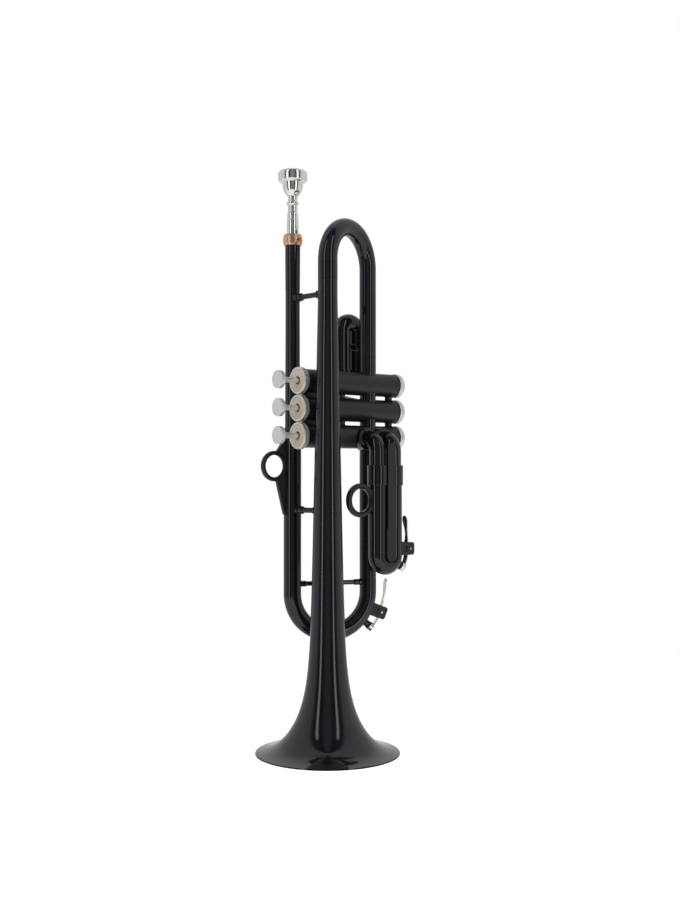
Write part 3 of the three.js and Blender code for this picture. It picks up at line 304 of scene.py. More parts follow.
def filled(loops: Sequence[Sequence[Pair]]) -> list[tuple[int, ...]]:
    """Fills an outline that has holes with triangles.

    Args:
        loops: The points of the outline and of each hole.

    Returns:
        The triangles, as places in the list of all the points.
    """
    points, edges = [], []
    for loop in loops:
        first, count = len(points), len(loop)
        points += [Vector(point) for point in loop]
        edges += [(first + i, first + (i + 1) % count) for i in range(count)]
    corners, _, triangles, sources, *_ = delaunay_2d_cdt(points, edges, [], 0, 1e-6)
    kept = []
    for triangle in triangles:
        middle = sum((corners[c] for c in triangle), Vector((0, 0))) / 3
        crossings = 0
        for a, b in ((points[i], points[j]) for i, j in edges):
            if (a.y > middle.y) != (b.y > middle.y):
                crossings += middle.x < a.x + (middle.y - a.y) * (b.x - a.x) / (b.y - a.y)
        if crossings % 2:
            kept.append(tuple(sources[c][0] for c in triangle))
    return kept


def plate(outlines: Sequence[Sequence[Corner]], low: float, high: float, rounding: float) -> Shape:
    """Makes a plate in the XZ plane with rounded edges.

    Args:
        outlines: The outer outline and then the outlines of its holes, as x, z and rounding.
        low: The plate's lower side along Y.
        high: The plate's upper side along Y.
        rounding: The rounding of its edges.

    Returns:
        The plate.
    """
    loops = [softened([*outline, outline[0]])[:-1] for outline in outlines]
    flat = [point for loop in loops for point in loop]
    count = len(flat)
    vertices = [Vector((x, y, z)) for y in (low, high) for x, z in flat]
    faces: list[tuple[int, ...]] = []
    for a, b, c in filled(loops):
        faces += [(a, b, c), (c + count, b + count, a + count)]
    start = 0
    for loop in loops:
        faces += wrapped(start, start + count, len(loop))
        start += len(loop)
    return bevelled(Shape(vertices, faces), rounding)


def block(low: Sequence[float], high: Sequence[float], rounding: float) -> Shape:
    """Returns a block between two corners, with rounded edges."""
    outline = [(low[0], low[2]), (high[0], low[2]), (high[0], high[2]), (low[0], high[2])]
    return plate([outline], low[1], high[1], rounding)


def flowing(knots: Sequence[Pair], steps: int) -> list[Pair]:
    """Draws a smooth line through knots.

    Args:
        knots: The points that it passes through.
        steps: The number of steps between two knots.

    Returns:
        The points of the line, with the knots among them.
    """
    first, last = Vector(knots[0]), Vector(knots[-1])
    ends = [2 * first - Vector(knots[1]), *[Vector(k) for k in knots], 2 * last - Vector(knots[-2])]
    line = []
    for a, b, c, d in zip(ends, ends[1:], ends[2:], ends[3:]):
        for t in (step / steps for step in range(steps)):
            bend = (2 * a - 5 * b + 4 * c - d) * t**2 + (3 * b - a - 3 * c + d) * t**3
            line.append((2 * b + (c - a) * t + bend) / 2)
    return [(p.x, p.y) for p in [*line, last]]


def looked_up(table: Sequence[Pair], share: float) -> float:
    """Reads a table of pairs, whose first numbers fall, between its rows."""
    for (high, value), (low, beside) in zip(table, table[1:]):
        if share >= low:
            return value + (beside - value) * min(max((high - share) / (high - low), 0.0), 1.0)
    return table[-1][1]


def strap(course: Sequence[Pair], widths: Sequence[float], thickness: float, rounding: float) -> Shape:
    """Makes a flat bar that follows a line in the XZ plane.

    Args:
        course: The middle of the bar, as x and z.
        widths: The width of the bar at each point, along Y.
        thickness: The thickness of the bar.
        rounding: The rounding of its edges.

    Returns:
        The bar.
    """
    vertices, faces = [], []
    last = len(course) - 1
    for index, ((x, z), width) in enumerate(zip(course, widths)):
        before, after = course[max(index - 1, 0)], course[min(index + 1, last)]
        run = Vector((after[0] - before[0], after[1] - before[1])).normalized()
        side = Vector((-run.y, run.x)) * thickness / 2
        for across, y in ((1, -1), (1, 1), (-1, 1), (-1, -1)):
            vertices.append(Vector((x + across * side.x, y * width / 2, z + across * side.y)))
        faces += wrapped(4 * index, 4 * index + 4, 4) if index < last else []
    faces += [(3, 2, 1, 0), tuple(4 * last + corner for corner in range(4))]
    return bevelled(Shape(vertices, faces), rounding, 60)


# Node tools


def new_object(name: str, data: Any) -> bpy.types.Object:
    """Adds an object to the scene."""
    made = bpy.data.objects.new(name, data)
    bpy.context.scene.collection.objects.link(made)
    return made


def empty_tree(owner: Any) -> Tree:
    """Returns the emptied node tree of a material or a world."""
    owner.use_nodes = True
    owner.node_tree.nodes.clear()
    return owner.node_tree


def add_node(
    tree: Tree, kind: str, inputs: dict | None = None, out: int | str | None = 0, **settings: Any
) -> Any:
    """Adds a node with its settings and links.

    Args:
        tree: The tree that the node joins.
        kind: The node's type.
        inputs: A value or the socket that feeds it for each input, by name or number.
        out: The output that is wanted, by name or number, or None for the whole node.
        **settings: The node's own settings.

    Returns:
        The output, or the node.
    """
    node = tree.nodes.new(kind)
    for name, value in settings.items():
        setattr(node, name, value)
    for name, value in (inputs or {}).items():
        if isinstance(value, Socket):
            tree.links.new(value, node.inputs[name])
        else:
            node.inputs[name].default_value = value
    return node if out is None else node.outputs[out]


def reckon(tree: Tree, known: dict[str, Any], steps: Sequence[tuple[Any, ...]]) -> dict[str, Any]:
    """Adds a chain of math nodes.

    Args:
        tree: The tree that they join.
        known: The sockets that the chain starts from, by name.
        steps: The name, the operation and the terms of each node. A term is a name or a number.

    Returns:
        The sockets that are known at its end, by name.
    """
    known = dict(known)
    for name, operation, *terms in steps:
        values = {place: known.get(term, term) for place, term in enumerate(terms)}
        known[name] = add_node(tree, "ShaderNodeMath", values, operation=operation, label=name)
    return known


def linear(colour: str) -> tuple[float, float, float, float]:
    """Turns an sRGB hex colour into a linear one."""
    shares = [int(colour[i : i + 2], 16) / 255 for i in (1, 3, 5)]
    return (*[s / 12.92 if s <= 0.04045 else ((s + 0.055) / 1.055) ** 2.4 for s in shares], 1.0)


class MeshTool:
    """A geometry node tree with named inputs, which turns a carrier mesh into a shape."""

    def __init__(self, name: str, sizes: Sequence[str], counts: Sequence[str] = ()) -> None:
        """Starts the tree.

        Args:
            name: The tree's name.
            sizes: The names of its inputs that are numbers.
            counts: The names of its inputs that are whole numbers.
        """
        self.tree = bpy.data.node_groups.new(name, "GeometryNodeTree")
        new_socket = self.tree.interface.new_socket
        kinds = {"Geometry": "Geometry", **dict.fromkeys(sizes, "Float"), **dict.fromkeys(counts, "Int")}
        self.sockets = {
            label: new_socket(label, in_out="INPUT", socket_type=f"NodeSocket{kind}").identifier
            for label, kind in {**kinds, "Finish": "Material"}.items()
        }
        new_socket("Geometry", in_out="OUTPUT", socket_type="NodeSocketGeometry")
        self.given = self.tree.nodes.new("NodeGroupInput").outputs

    def node(self, kind: str, inputs: dict, out: int | None = 0, **settings: Any) -> Any:
        """Adds a geometry node to the tree."""
        return add_node(self.tree, f"GeometryNode{kind}", inputs, out, **settings)

    def attribute(self, name: str) -> Socket:
        """Reads an attribute of the carrier's points."""
        return self.node("InputNamedAttribute", {"Name": name}, data_type="FLOAT")

    def swept(self, line: Socket, radius: Any, further: dict[str, Any]) -> "MeshTool":
        """Runs a circle along a line and ends the tree.

        Args:
            line: The socket that holds the line.
            radius: The circle's radius.
            further: More inputs of the node that joins the two.

        Returns:
            The tool.
        """
        inputs = {"Resolution": self.given["Sides"], "Radius": radius}
        circle = self.node("CurvePrimitiveCircle", inputs, mode="RADIUS")
        parts = {"Curve": line, "Profile Curve": circle, "Fill Caps": True, **further}
        return self.close(self.node("CurveToMesh", parts))

    def close(self, geometry: Socket) -> "MeshTool":
        """Ends the tree, which leaves plain faces with their finish.

        Args:
            geometry: The socket that holds the made geometry.

        Returns:
            The tool.
        """
        plain = self.node("RealizeInstances", {"Geometry": geometry})
        dressed = self.node("SetMaterial", {"Geometry": plain, "Material": self.given["Finish"]})
        add_node(self.tree, "NodeGroupOutput", {"Geometry": dressed}, None)
        return self

    def shape(self, values: dict[str, Any], carrier: bpy.types.Mesh | None = None) -> Shape:
        """Runs the tree once.

        Args:
            values: The value of each named input.
            carrier: The mesh that the tree starts from, if it needs one.

        Returns:
            The shape, with its faces outwards.
        """
        mesh = carrier or bpy.data.meshes.new("carrier")
        bench = new_object("bench", mesh)
        modifier = bench.modifiers.new("tool", "NODES")
        modifier.node_group = self.tree
        for label, value in values.items():
            modifier[self.sockets[label]] = value
        depsgraph = bpy.context.evaluated_depsgraph_get()
        made = bpy.data.meshes.new_from_object(bench.evaluated_get(depsgraph))
        bench.modifiers.remove(modifier)
        work = bmesh.new()
        work.from_mesh(made)
        bmesh.ops.remove_doubles(work, verts=work.verts[:], dist=1e-4)
        shape = read_back(work)
        bpy.data.objects.remove(bench)
        for spent in (made, mesh):
            bpy.data.meshes.remove(spent)
        return Shape.closed(shape.vertices, shape.faces)


def tube_tool() -> MeshTool:
    """Builds the tree that draws a round tube along a line.

    Returns:
        The tool, whose carrier holds the line and the radius at each of its points.
    """
    tool = MeshTool("Tube along a line", [], ["Sides"])
    line = tool.node("MeshToCurve", {"Mesh": tool.given["Geometry"]})
    return tool.swept(line, 1.0, {"Scale": tool.attribute("tube_radius")})


def spring_tool() -> MeshTool:
    """Builds the tree that winds a wire spring up along Z.

    Returns:
        The tool.
    """
    tool = MeshTool("Wound spring", ["Turns", "Coil Radius", "Height", "Wire Radius"], ["Steps", "Sides"])
    feeds = {"Resolution": "Steps", "Rotations": "Turns", "Height": "Height"}
    feeds.update({"Start Radius": "Coil Radius", "End Radius": "Coil Radius"})
    coil = tool.node("CurveSpiral", {name: tool.given[feed] for name, feed in feeds.items()})
    return tool.swept(coil, tool.given["Wire Radius"], {})


def ridge_tool() -> MeshTool:
    """Builds the tree that sets upright ridges round a cap.

    Returns:
        The tool.
    """
    tool = MeshTool("Ridges round a cap", ["Ring Radius", "Ridge Radius", "Ridge Length"], ["Ridges"])
    given = tool.given
    places = tool.node("MeshCircle", {"Vertices": given["Ridges"], "Radius": given["Ring Radius"]})
    sizes = {"Vertices": 8, "Radius": given["Ridge Radius"], "Depth": given["Ridge Length"]}
    ridge = tool.node("MeshCylinder", sizes)
    return tool.close(tool.node("InstanceOnPoints", {"Points": places, "Instance": ridge}))


FLARE_SIZES = ["Neck Radius", "Cone Top", "Cone Share", "Flare Growth", "Flare Length"]
FLARE_SIZES += ["Lip Growth", "Lip Length", "Rim Radius", "Wall"]


def flare_tool() -> MeshTool:
    """Builds the tree that gives the bell's wall its shape.

    The radius is the neck's, plus a cone, a flare and a lip that die away up the bell. The inside
    lies a wall's thickness away from the outside, square to it.

    Returns:
        The tool, whose carrier holds the height, the turn, the side and the trim of each point.
    """
    tool = MeshTool("Bell flare", FLARE_SIZES)
    known = {name: tool.given[name] for name in FLARE_SIZES}
    known.update({name: tool.attribute(name) for name in ("height", "turn", "inside", "trim")})
    steps: list[tuple[Any, ...]] = []
    for part in ("Flare", "Lip"):
        steps += [
            (f"{part} fall", "DIVIDE", "height", f"{part} Length"),
            (f"{part} power", "MULTIPLY", f"{part} fall", -1.0),
            (f"{part} share", "EXPONENT", f"{part} power"),
            (part, "MULTIPLY", f"{part} share", f"{part} Growth"),
            (f"{part} slope", "DIVIDE", part, f"{part} Length"),
        ]
    steps += [
        ("below the cone's top", "SUBTRACT", "Cone Top", "height"),
        ("cone's height", "MAXIMUM", "below the cone's top", 0.0),
        ("cone", "MULTIPLY", "cone's height", "Cone Share"),
        ("neck and cone", "ADD", "Neck Radius", "cone"),
        ("flare and lip", "ADD", "Flare", "Lip"),
        ("open radius", "ADD", "neck and cone", "flare and lip"),
        ("outer radius", "MINIMUM", "open radius", "Rim Radius"),
        ("curved slope", "ADD", "Flare slope", "Lip slope"),
        ("slope", "ADD", "curved slope", "Cone Share"),
        ("squared slope", "MULTIPLY", "slope", "slope"),
        ("squared stretch", "ADD", "squared slope", 1.0),
        ("stretch", "SQRT", "squared stretch"),
        ("wall across", "DIVIDE", "Wall", "stretch"),
        ("inset", "MULTIPLY", "wall across", "inside"),
        ("inset radius", "SUBTRACT", "outer radius", "inset"),
        ("radius", "SUBTRACT", "inset radius", "trim"),
        ("drop", "MULTIPLY", "inset", "slope"),
        ("Z", "SUBTRACT", "height", "drop"),
    ]
    for name, operation in (("X", "COSINE"), ("Y", "SINE")):
        steps += [(operation, operation, "turn"), (name, "MULTIPLY", "radius", operation)]
    known = reckon(tool.tree, known, steps)
    point = add_node(tool.tree, "ShaderNodeCombineXYZ", {name: known[name] for name in "XYZ"})
    return tool.close(tool.node("SetPosition", {"Geometry": tool.given["Geometry"], "Position": point}))


class Toolbox:
    """The node tools, each built once."""

    def __init__(self) -> None:
        """Builds the trees."""
        self.tubes, self.springs = tube_tool(), spring_tool()
        self.ridges, self.flares = ridge_tool(), flare_tool()

    def carry(
        self, points: Sequence[Any], edges: Sequence[Any], faces: Sequence[Any], **columns: Sequence[float]
    ) -> bpy.types.Mesh:
        """Makes a carrier mesh with its attributes.

        Args:
            points: Its points.
            edges: Its edges.
            faces: Its faces.
            **columns: The value of each attribute at each point.

        Returns:
            The mesh.
        """
        carrier = bpy.data.meshes.new("carrier")
        carrier.from_pydata(points, edges, faces)
        for name, values in columns.items():
            carrier.attributes.new(name, "FLOAT", "POINT").data.foreach_set("value", values)
        return carrier

    def flare(self, stations: Sequence[Corner], sizes: dict[str, float], sides: int) -> Shape:
        """Shapes the bell's wall.

        Args:
            stations: The height, the side and the trim of each ring round the wall.
            sizes: The sizes that the rule takes.
            sides: The number of sides.

        Returns:
            The wall, closed on itself.
        """
        count = len(stations)
        faces = []
        for row in range(count):
            faces += wrapped(row * sides, (row + 1) % count * sides, sides)
        turns = [2 * math.pi * side / sides for side in range(sides)] * count
        names = ("height", "inside", "trim")
        rings = {name: [s[i] for s in stations for _ in range(sides)] for i, name in enumerate(names)}
        carrier = self.carry([(0, 0, 0)] * (count * sides), [], faces, turn=turns, **rings)
        return self.flares.shape(sizes, carrier)

    def tube(self, course: Sequence[Vector], radii: Sequence[float], sides: int) -> Shape:
        """Draws a round tube along a line.

        Args:
            course: The points of its centre line.
            radii: The radius at each point.
            sides: The number of sides.

        Returns:
            The tube, closed at both ends.
        """
        edges = [(i, i + 1) for i in range(len(course) - 1)]
        carrier = self.carry(list(course), edges, [], tube_radius=list(radii))
        return self.tubes.shape({"Sides": sides}, carrier)

    def bow(self, radius: float, start: float, legs: Pair, radii: Pair, steps: int, sides: int) -> Shape:
        """Draws a bow with straight legs in the XZ plane, whose tube tapers round the bend.

        Args:
            radius: The radius of the bend.
            start: The angle in degrees where the bend starts, from +X towards +Z. It ends at 0.
            legs: The lengths of the leg before it and of the leg after it.
            radii: The radius of the tube along each leg.
            steps: The number of steps round the bend.
            sides: The number of sides of the tube.

        Returns:
            The bow, closed at both ends.
        """
        turn = math.copysign(1, -start)

        def station(degrees: float, along: float) -> Vector:
            """Returns the point at an angle, moved along the bow's direction there."""
            a = math.radians(degrees)
            run = Vector((-math.sin(a), 0, math.cos(a))) * turn
            return Vector((math.cos(a), 0, math.sin(a))) * radius + run * along

        bend = [station(start - start * step / steps, 0) for step in range(steps + 1)]
        lengths = [0.0]
        for before, after in zip(bend, bend[1:]):
            lengths.append(lengths[-1] + (after - before).length)
        first, last = radii
        widths = [first + (last - first) * length / lengths[-1] for length in lengths]
        lead_in = [station(start, -legs[0] * share) for share in (1.0, 0.5)]
        lead_out = [station(0, legs[1] * share) for share in (0.5, 1.0)]
        return self.tube(lead_in + bend + lead_out, [first] * 2 + widths + [last] * 2, sides)

    def spring(self, turns: float, coil: float, height: float, wire: float) -> Shape:
        """Winds a spring that starts at the origin and rises along Z."""
        values = {"Turns": turns, "Coil Radius": coil, "Height": height, "Wire Radius": wire}
        return self.springs.shape({**values, "Steps": 28, "Sides": 10})

    def ridge_ring(self, ridges: int, ring_radius: float, ridge_radius: float, length: float) -> Shape:
        """Sets upright ridges round Z, with their middle at the origin."""
        values = {"Ridges": ridges, "Ring Radius": ring_radius, "Ridge Radius": ridge_radius}
        return self.ridges.shape({**values, "Ridge Length": length})


# Finishes


@dataclass(frozen=True)
class Finish:
    """A finish, which holds its values and builds its material.

    The name is the real material, then come the record's slot, the lighter and the darker colour, the
    roughness and how far it varies, and the size and the depth of the relief in millimetres.
    """

    name: str
    slot: str
    colour: str
    shade: str
    roughness: float
    spread: float
    grain_mm: float
    relief_mm: float

    metallic = 0.0
    ior = 1.5
    cloud_mm = 22.0
    stretch = (1.0, 1.0, 1.0)

    def material(self) -> bpy.types.Material:
        """Returns the finish's material, which is made the first time."""
        made = bpy.data.materials.get(self.name)
        if made is None:
            made = bpy.data.materials.new(self.name)
            self.dress(empty_tree(made))
        return made

    def dress(self, tree: Tree) -> None:
        """Fills the material's tree, where one cloud varies the colour and the roughness.

        Args:
            tree: The empty tree.
        """
        place = add_node(tree, "ShaderNodeTexCoord", out="Object")
        drift = {"Vector": place, "Scale": 1000 / self.cloud_mm, "Detail": 4.0, "Roughness": 0.55}
        cloud = add_node(tree, "ShaderNodeTexNoise", drift)
        tones = {0: cloud, 6: linear(self.shade), 7: linear(self.colour)}
        spans = {"Value": cloud, "From Min": 0.3, "From Max": 0.7}
        spans.update({"To Min": self.roughness - self.spread, "To Max": self.roughness + self.spread})
        relief = {"Height": self.grain(tree, place), "Strength": 1.0, "Distance": self.relief_mm / 1000}
        values = {
            "Base Color": add_node(tree, "ShaderNodeMix", tones, 2, data_type="RGBA"),
            "Metallic": self.metallic,
            "Roughness": add_node(tree, "ShaderNodeMapRange", spans),
            "IOR": self.ior,
            "Normal": add_node(tree, "ShaderNodeBump", relief),
            **self.extras(),
        }
        shader = add_node(tree, "ShaderNodeBsdfPrincipled", values)
        add_node(tree, "ShaderNodeOutputMaterial", {"Surface": shader}, None)

    def grain(self, tree: Tree, place: Socket) -> Socket:
        """Builds the finish's relief.

        Args:
            tree: The material's tree.
            place: The socket that gives the point on the piece.

        Returns:
            The socket that holds the height.
        """
        laid = add_node(tree, "ShaderNodeMapping", {"Vector": place, "Scale": self.stretch})
        inputs = {"Vector": laid, "Scale": 1000 / self.grain_mm, "Detail": 2.0}
        return add_node(tree, "ShaderNodeTexNoise", inputs)

    def extras(self) -> dict[str, Any]:
        """Returns the shader's further values."""
        return {}


@dataclass(frozen=True)
class PolishedPlastic(Finish):
    """Injection-moulded ABS from a polished mould: a deep gloss that waves a little."""

    ior = 1.53
    cloud_mm = 34.0


@dataclass(frozen=True)
class GrainedPlastic(Finish):
    """ABS from a spark-eroded mould: an even, fine grain that spreads the light."""

    def grain(self, tree: Tree, place: Socket) -> Socket:
        """Builds the pits that the sparks leave."""
        inputs = {"Vector": place, "Scale": 1000 / self.grain_mm}
        return add_node(tree, "ShaderNodeTexVoronoi", inputs, feature="SMOOTH_F1")


@dataclass(frozen=True)
class Metal(Finish):
    """A plated or bare metal, whose fine tool lines lie closer along each axis by its stretch."""

    stretch: tuple[float, float, float] = (1.0, 1.0, 1.0)

    metallic = 1.0
    cloud_mm = 9.0


@dataclass(frozen=True)
class Felt(Finish):
    """Pressed wool felt: short fibres that lie every way and catch light at the rim."""

    cloud_mm = 2.4
    slender = 5.0

    def grain(self, tree: Tree, place: Socket) -> Socket:
        """Builds crossed fibres.

        Args:
            tree: The material's tree.
            place: The socket that gives the point on the piece.

        Returns:
            The socket that holds the height.
        """
        heights = {}
        for number, stretch in enumerate(((1.0, self.slender, 1.0), (1.0, 1.0, self.slender))):
            laid = add_node(tree, "ShaderNodeMapping", {"Vector": place, "Scale": stretch})
            scale = 1000 / self.slender / self.grain_mm
            inputs = {"Vector": laid, "Scale": scale, "Detail": 3.0, "Distortion": 1.2}
            heights[number] = add_node(tree, "ShaderNodeTexNoise", inputs)
        return add_node(tree, "ShaderNodeMath", heights, operation="MAXIMUM")

    def extras(self) -> dict[str, Any]:
        """Returns the pale bloom of the fibres."""
        return {"Sheen Weight": 0.35, "Sheen Roughness": 0.5, "Sheen Tint": linear("#e9ddc8")}


@dataclass(frozen=True)
class Rubber(Finish):
    """Moulded rubber and nylon: dull, with faint pores."""

    cloud_mm = 4.0


# Black ABS from a mirror-polished mould: its highlights waver over 9 mm, by a fifth of a micron.
POLISHED_ABS = PolishedPlastic(
    "polished_black_abs", "gloss_black", "#101116", "#0b0b0f", 0.1, 0.01, 9.0, 0.0002
)
# Black ABS from an eroded mould. The real grain is 0.1 mm; it is drawn at 0.35 mm to show.
GRAINED_ABS = GrainedPlastic(
    "eroded_black_abs", "satin_black", "#171719", "#101012", 0.42, 0.05, 0.35, 0.008
)
# Silver plate over turned brass, buffed bright. The buffing lines run round Z.
SILVER_PLATE = Metal(
    "buffed_silver_plate", "silver_plate", "#f8f6f1", "#efede6", 0.15, 0.02, 3.0, 0.0001, (1, 1, 12)
)
# The same plate on the stamped levers, whose buffing lines run along them.
STAMPED_PLATE = Metal(
    "buffed_plate_on_stamping", "silver_plate", "#f3f0ea", "#e4e0d8", 0.12, 0.04, 2.0, 0.0003, (1, 6, 1)
)
# Satin nickel on turned aluminium. The turning lines run round X and are drawn 0.25 mm apart.
SATIN_NICKEL = Metal(
    "satin_nickel_plate", "satin_nickel", "#f3f2ee", "#e6e4de", 0.45, 0.01, 2.5, 0.0001, (10, 1, 1)
)
# Nickel on the finger buttons, finely frosted, so that they show no sharp reflection.
FROSTED_NICKEL = Metal(
    "frosted_nickel_plate", "satin_nickel", "#f4f3ef", "#eae9e4", 0.42, 0.04, 0.4, 0.001
)
# Rose gold plate on the collar under the mouthpiece, turned round Z.
ROSE_GOLD = Metal(
    "rose_gold_plate", "copper_collar", "#f0caa9", "#e0b38e", 0.33, 0.02, 3.0, 0.0001, (1, 1, 10)
)
# Drawn stainless spring wire, which glints grey.
SPRING_WIRE = Metal("drawn_spring_wire", "spring_steel", "#c9c8c4", "#b3b2ae", 0.24, 0.05, 0.8, 0.001)
# Drawn aluminium slide tube. The drawing lines run along Z and are drawn 0.3 mm apart.
SLIDE_TUBE = Metal(
    "drawn_slide_tube", "slide_alloy", "#c3c4c8", "#aeb0b4", 0.22, 0.05, 2.0, 0.0006, (7, 7, 0.3)
)
# Monel on the honed pistons, a warm grey.
MONEL = Metal("honed_monel", "satin_nickel", "#bdb8ae", "#aba69c", 0.2, 0.04, 1.0, 0.0006)
# Cream wool felt under the finger buttons. The fibres are drawn 0.3 mm thick.
WOOL_FELT = Felt("pressed_wool_felt", "cream_felt", "#c0b4a5", "#a99c8c", 0.93, 0.03, 0.3, 0.06)
# Black rubber cork in the cups of the water keys, dull beside the gloss of the bow.
KEY_RUBBER = Rubber("black_cork_rubber", "key_cork", "#1c1c1c", "#121212", 0.72, 0.08, 0.3, 0.03)
# White nylon of the valve guides, with a soft sheen.
NYLON = Rubber("moulded_white_nylon", "white_nylon", "#e6e5df", "#d8d7d0", 0.45, 0.05, 0.5, 0.01)


# Pieces


class Shop:
    """Makes the pieces and reports each one."""

    def __init__(self, tools: Toolbox) -> None:
        """Finds the instrument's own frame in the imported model.

        Args:
            tools: The node tools.
        """
        self.tools = tools
        low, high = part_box("bell")
        self.origin = Vector(((low.x + high.x) / 2, (low.y + high.y) / 2, 0.0))

    def to_row(self, x: float, y: float, z: float) -> Vector:
        """Returns a point of the instrument's frame in the row's frame, in metres."""
        return self.origin + Vector((x, y, z)) / 1000

    def piece(
        self, name: str, shape: Shape, finish: Finish, body: str, *nodes: str, sharp: float = 38
    ) -> bpy.types.Object:
        """Makes a piece that rides on a body and stands for CAD nodes.

        Args:
            name: The piece's name.
            shape: Its shape in the instrument's frame.
            finish: Its finish.
            body: The body that it rides on.
            *nodes: The nodes that it stands for.
            sharp: The least angle in degrees between faces that shows as an edge.

        Returns:
            The piece.
        """
        mesh = bpy.data.meshes.new(name)
        mesh.from_pydata([self.origin + v / 1000 for v in shape.vertices], [], shape.faces)
        mesh.validate()
        mesh.shade_smooth()
        mesh.set_sharp_from_angle(angle=math.radians(sharp))
        mesh.materials.append(finish.material())
        made = new_object(name, mesh)
        self.even(made)
        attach(made, body)
        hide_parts(*nodes)
        log.info("%s: %d faces on %s", name, len(made.data.polygons), body)
        return made

    def even(self, made: bpy.types.Object) -> None:
        """Lets the large faces of a piece lead its shading, so that flats stay flat.

        Args:
            made: The piece.
        """
        modifier = made.modifiers.new("even", "WEIGHTED_NORMAL")
        modifier.keep_sharp = True
        depsgraph = bpy.context.evaluated_depsgraph_get()
        evened = bpy.data.meshes.new_from_object(made.evaluated_get(depsgraph), depsgraph=depsgraph)
        made.modifiers.remove(modifier)
        plain, made.data = made.data, evened
        name = plain.name
        bpy.data.meshes.remove(plain)
        evened.name = name

    def dress(self, node: str, finish: Finish) -> None:
        """Gives a CAD node that stays its finish.

        Args:
            node: The node's name.
            finish: Its finish.
        """
        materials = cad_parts[node].data.materials
        materials.clear()
        materials.append(finish.material())
        log.info("%s: kept, in %s", node, finish.name)


@dataclass
class Assembly:
    """A sub-assembly, whose further fields are its sizes in millimetres."""

    shop: Shop

    def build(self) -> None:
        """Builds the pieces of the sub-assembly."""
        raise NotImplementedError

    @property
    def tools(self) -> Toolbox:
        """The node tools."""
        return self.shop.tools


@dataclass
class Bell(Assembly):
    """The bell, its ferrule, the bow on it and the knuckle into the first valve."""

    rim_radius: float = 63.5
    rim_edge: float = 1.2
    rim_foot: float = 2.2
    wall: float = 1.7
    neck_radius: float = 8.68
    cone_top: float = 400.0
    cone_share: float = 0.0208
    flare_growth: float = 36.0
    flare_length: float = 26.0
    lip_growth: float = 17.0
    lip_length: float = 3.2
    top: float = 416.4
    ferrule_radius: float = 8.75
    ferrule_height: float = 13.6
    rise: float = 3.4
    knee_length: float = 78.4
    tube_radius: float = ENTRY_TUBE
    valve_height: float = TOP_VALVE
    rows: int = 110
    crowding: float = 2.7

    def radius_at(self, height: float) -> float:
        """Returns the outer radius at a height."""
        cone = max(self.cone_top - height, 0.0) * self.cone_share
        flare = self.flare_growth * math.exp(-height / self.flare_length)
        lip = self.lip_growth * math.exp(-height / self.lip_length)
        return min(self.neck_radius + cone + flare + lip, self.rim_radius)

    def bell(self) -> Shape:
        """Shapes the bell's wall, from the rim up outside and back down inside."""
        low, start = self.rim_edge, self.rim_edge + self.wall
        top = self.top - SEAM
        share = [(row / self.rows) ** self.crowding for row in range(self.rows + 1)]
        stations = [(0.0, 0.0, self.rim_foot), (0.0, 0.0, 0.3), (0.1, 0.0, 0.1), (0.3, 0.0, 0.0)]
        stations += [(low + (self.cone_top - low) * s, 0.0, 0.0) for s in share]
        stations += [(top - 0.3, 0.0, 0.0), (top, 0.0, 0.3), (top, 1.0, 0.0)]
        stations += [(start + (self.cone_top - start) * s, 1.0, 0.0) for s in reversed(share)]
        sizes = {name: getattr(self, name.lower().replace(" ", "_")) for name in FLARE_SIZES}
        return self.tools.flare(stations, sizes, 144)

    def bow(self) -> Shape:
        """Draws the bow in the plane through the bell's axis and the tube into the first valve."""
        x, y = ENTRY
        half = math.hypot(x, y) / 2
        legs = (self.rise, self.knee_length + self.rise)
        bow = self.tools.bow(half, 180, legs, (self.neck_radius, self.tube_radius), 48, 64)
        foot = self.top + self.ferrule_height + SEAM + self.rise
        return bow.moved(half, 0, 0).turned(math.degrees(math.atan2(y, x)), Axis.Z).moved(0, 0, foot)

    def knuckle(self) -> Shape:
        """Draws the tube from the bow to the first valve's casing, seated on it."""
        foot = self.top + self.ferrule_height - self.knee_length
        tube = pipe(self.tube_radius, BORE, SEAT_END, foot - self.valve_height, 0.3)
        return tube.seated(SEAT_END, TUBE_SEAT).moved(*ENTRY, self.valve_height)

    def build(self) -> None:
        """Builds the pieces of the bell."""
        inner = self.neck_radius - self.wall
        ferrule = pipe(self.ferrule_radius, inner, self.top, self.top + self.ferrule_height, 0.45)
        piece = self.shop.piece
        piece("bell_flare", self.bell(), POLISHED_ABS, "horn", "bell", sharp=60)
        piece("bell_neck_ferrule", ferrule, POLISHED_ABS, "horn", "bell_ferrule")
        piece("bell_top_bow", self.bow(), POLISHED_ABS, "horn", "bell_bow", sharp=60)
        piece("valve_return_tube", self.knuckle(), POLISHED_ABS, "horn", "return_knuckle")


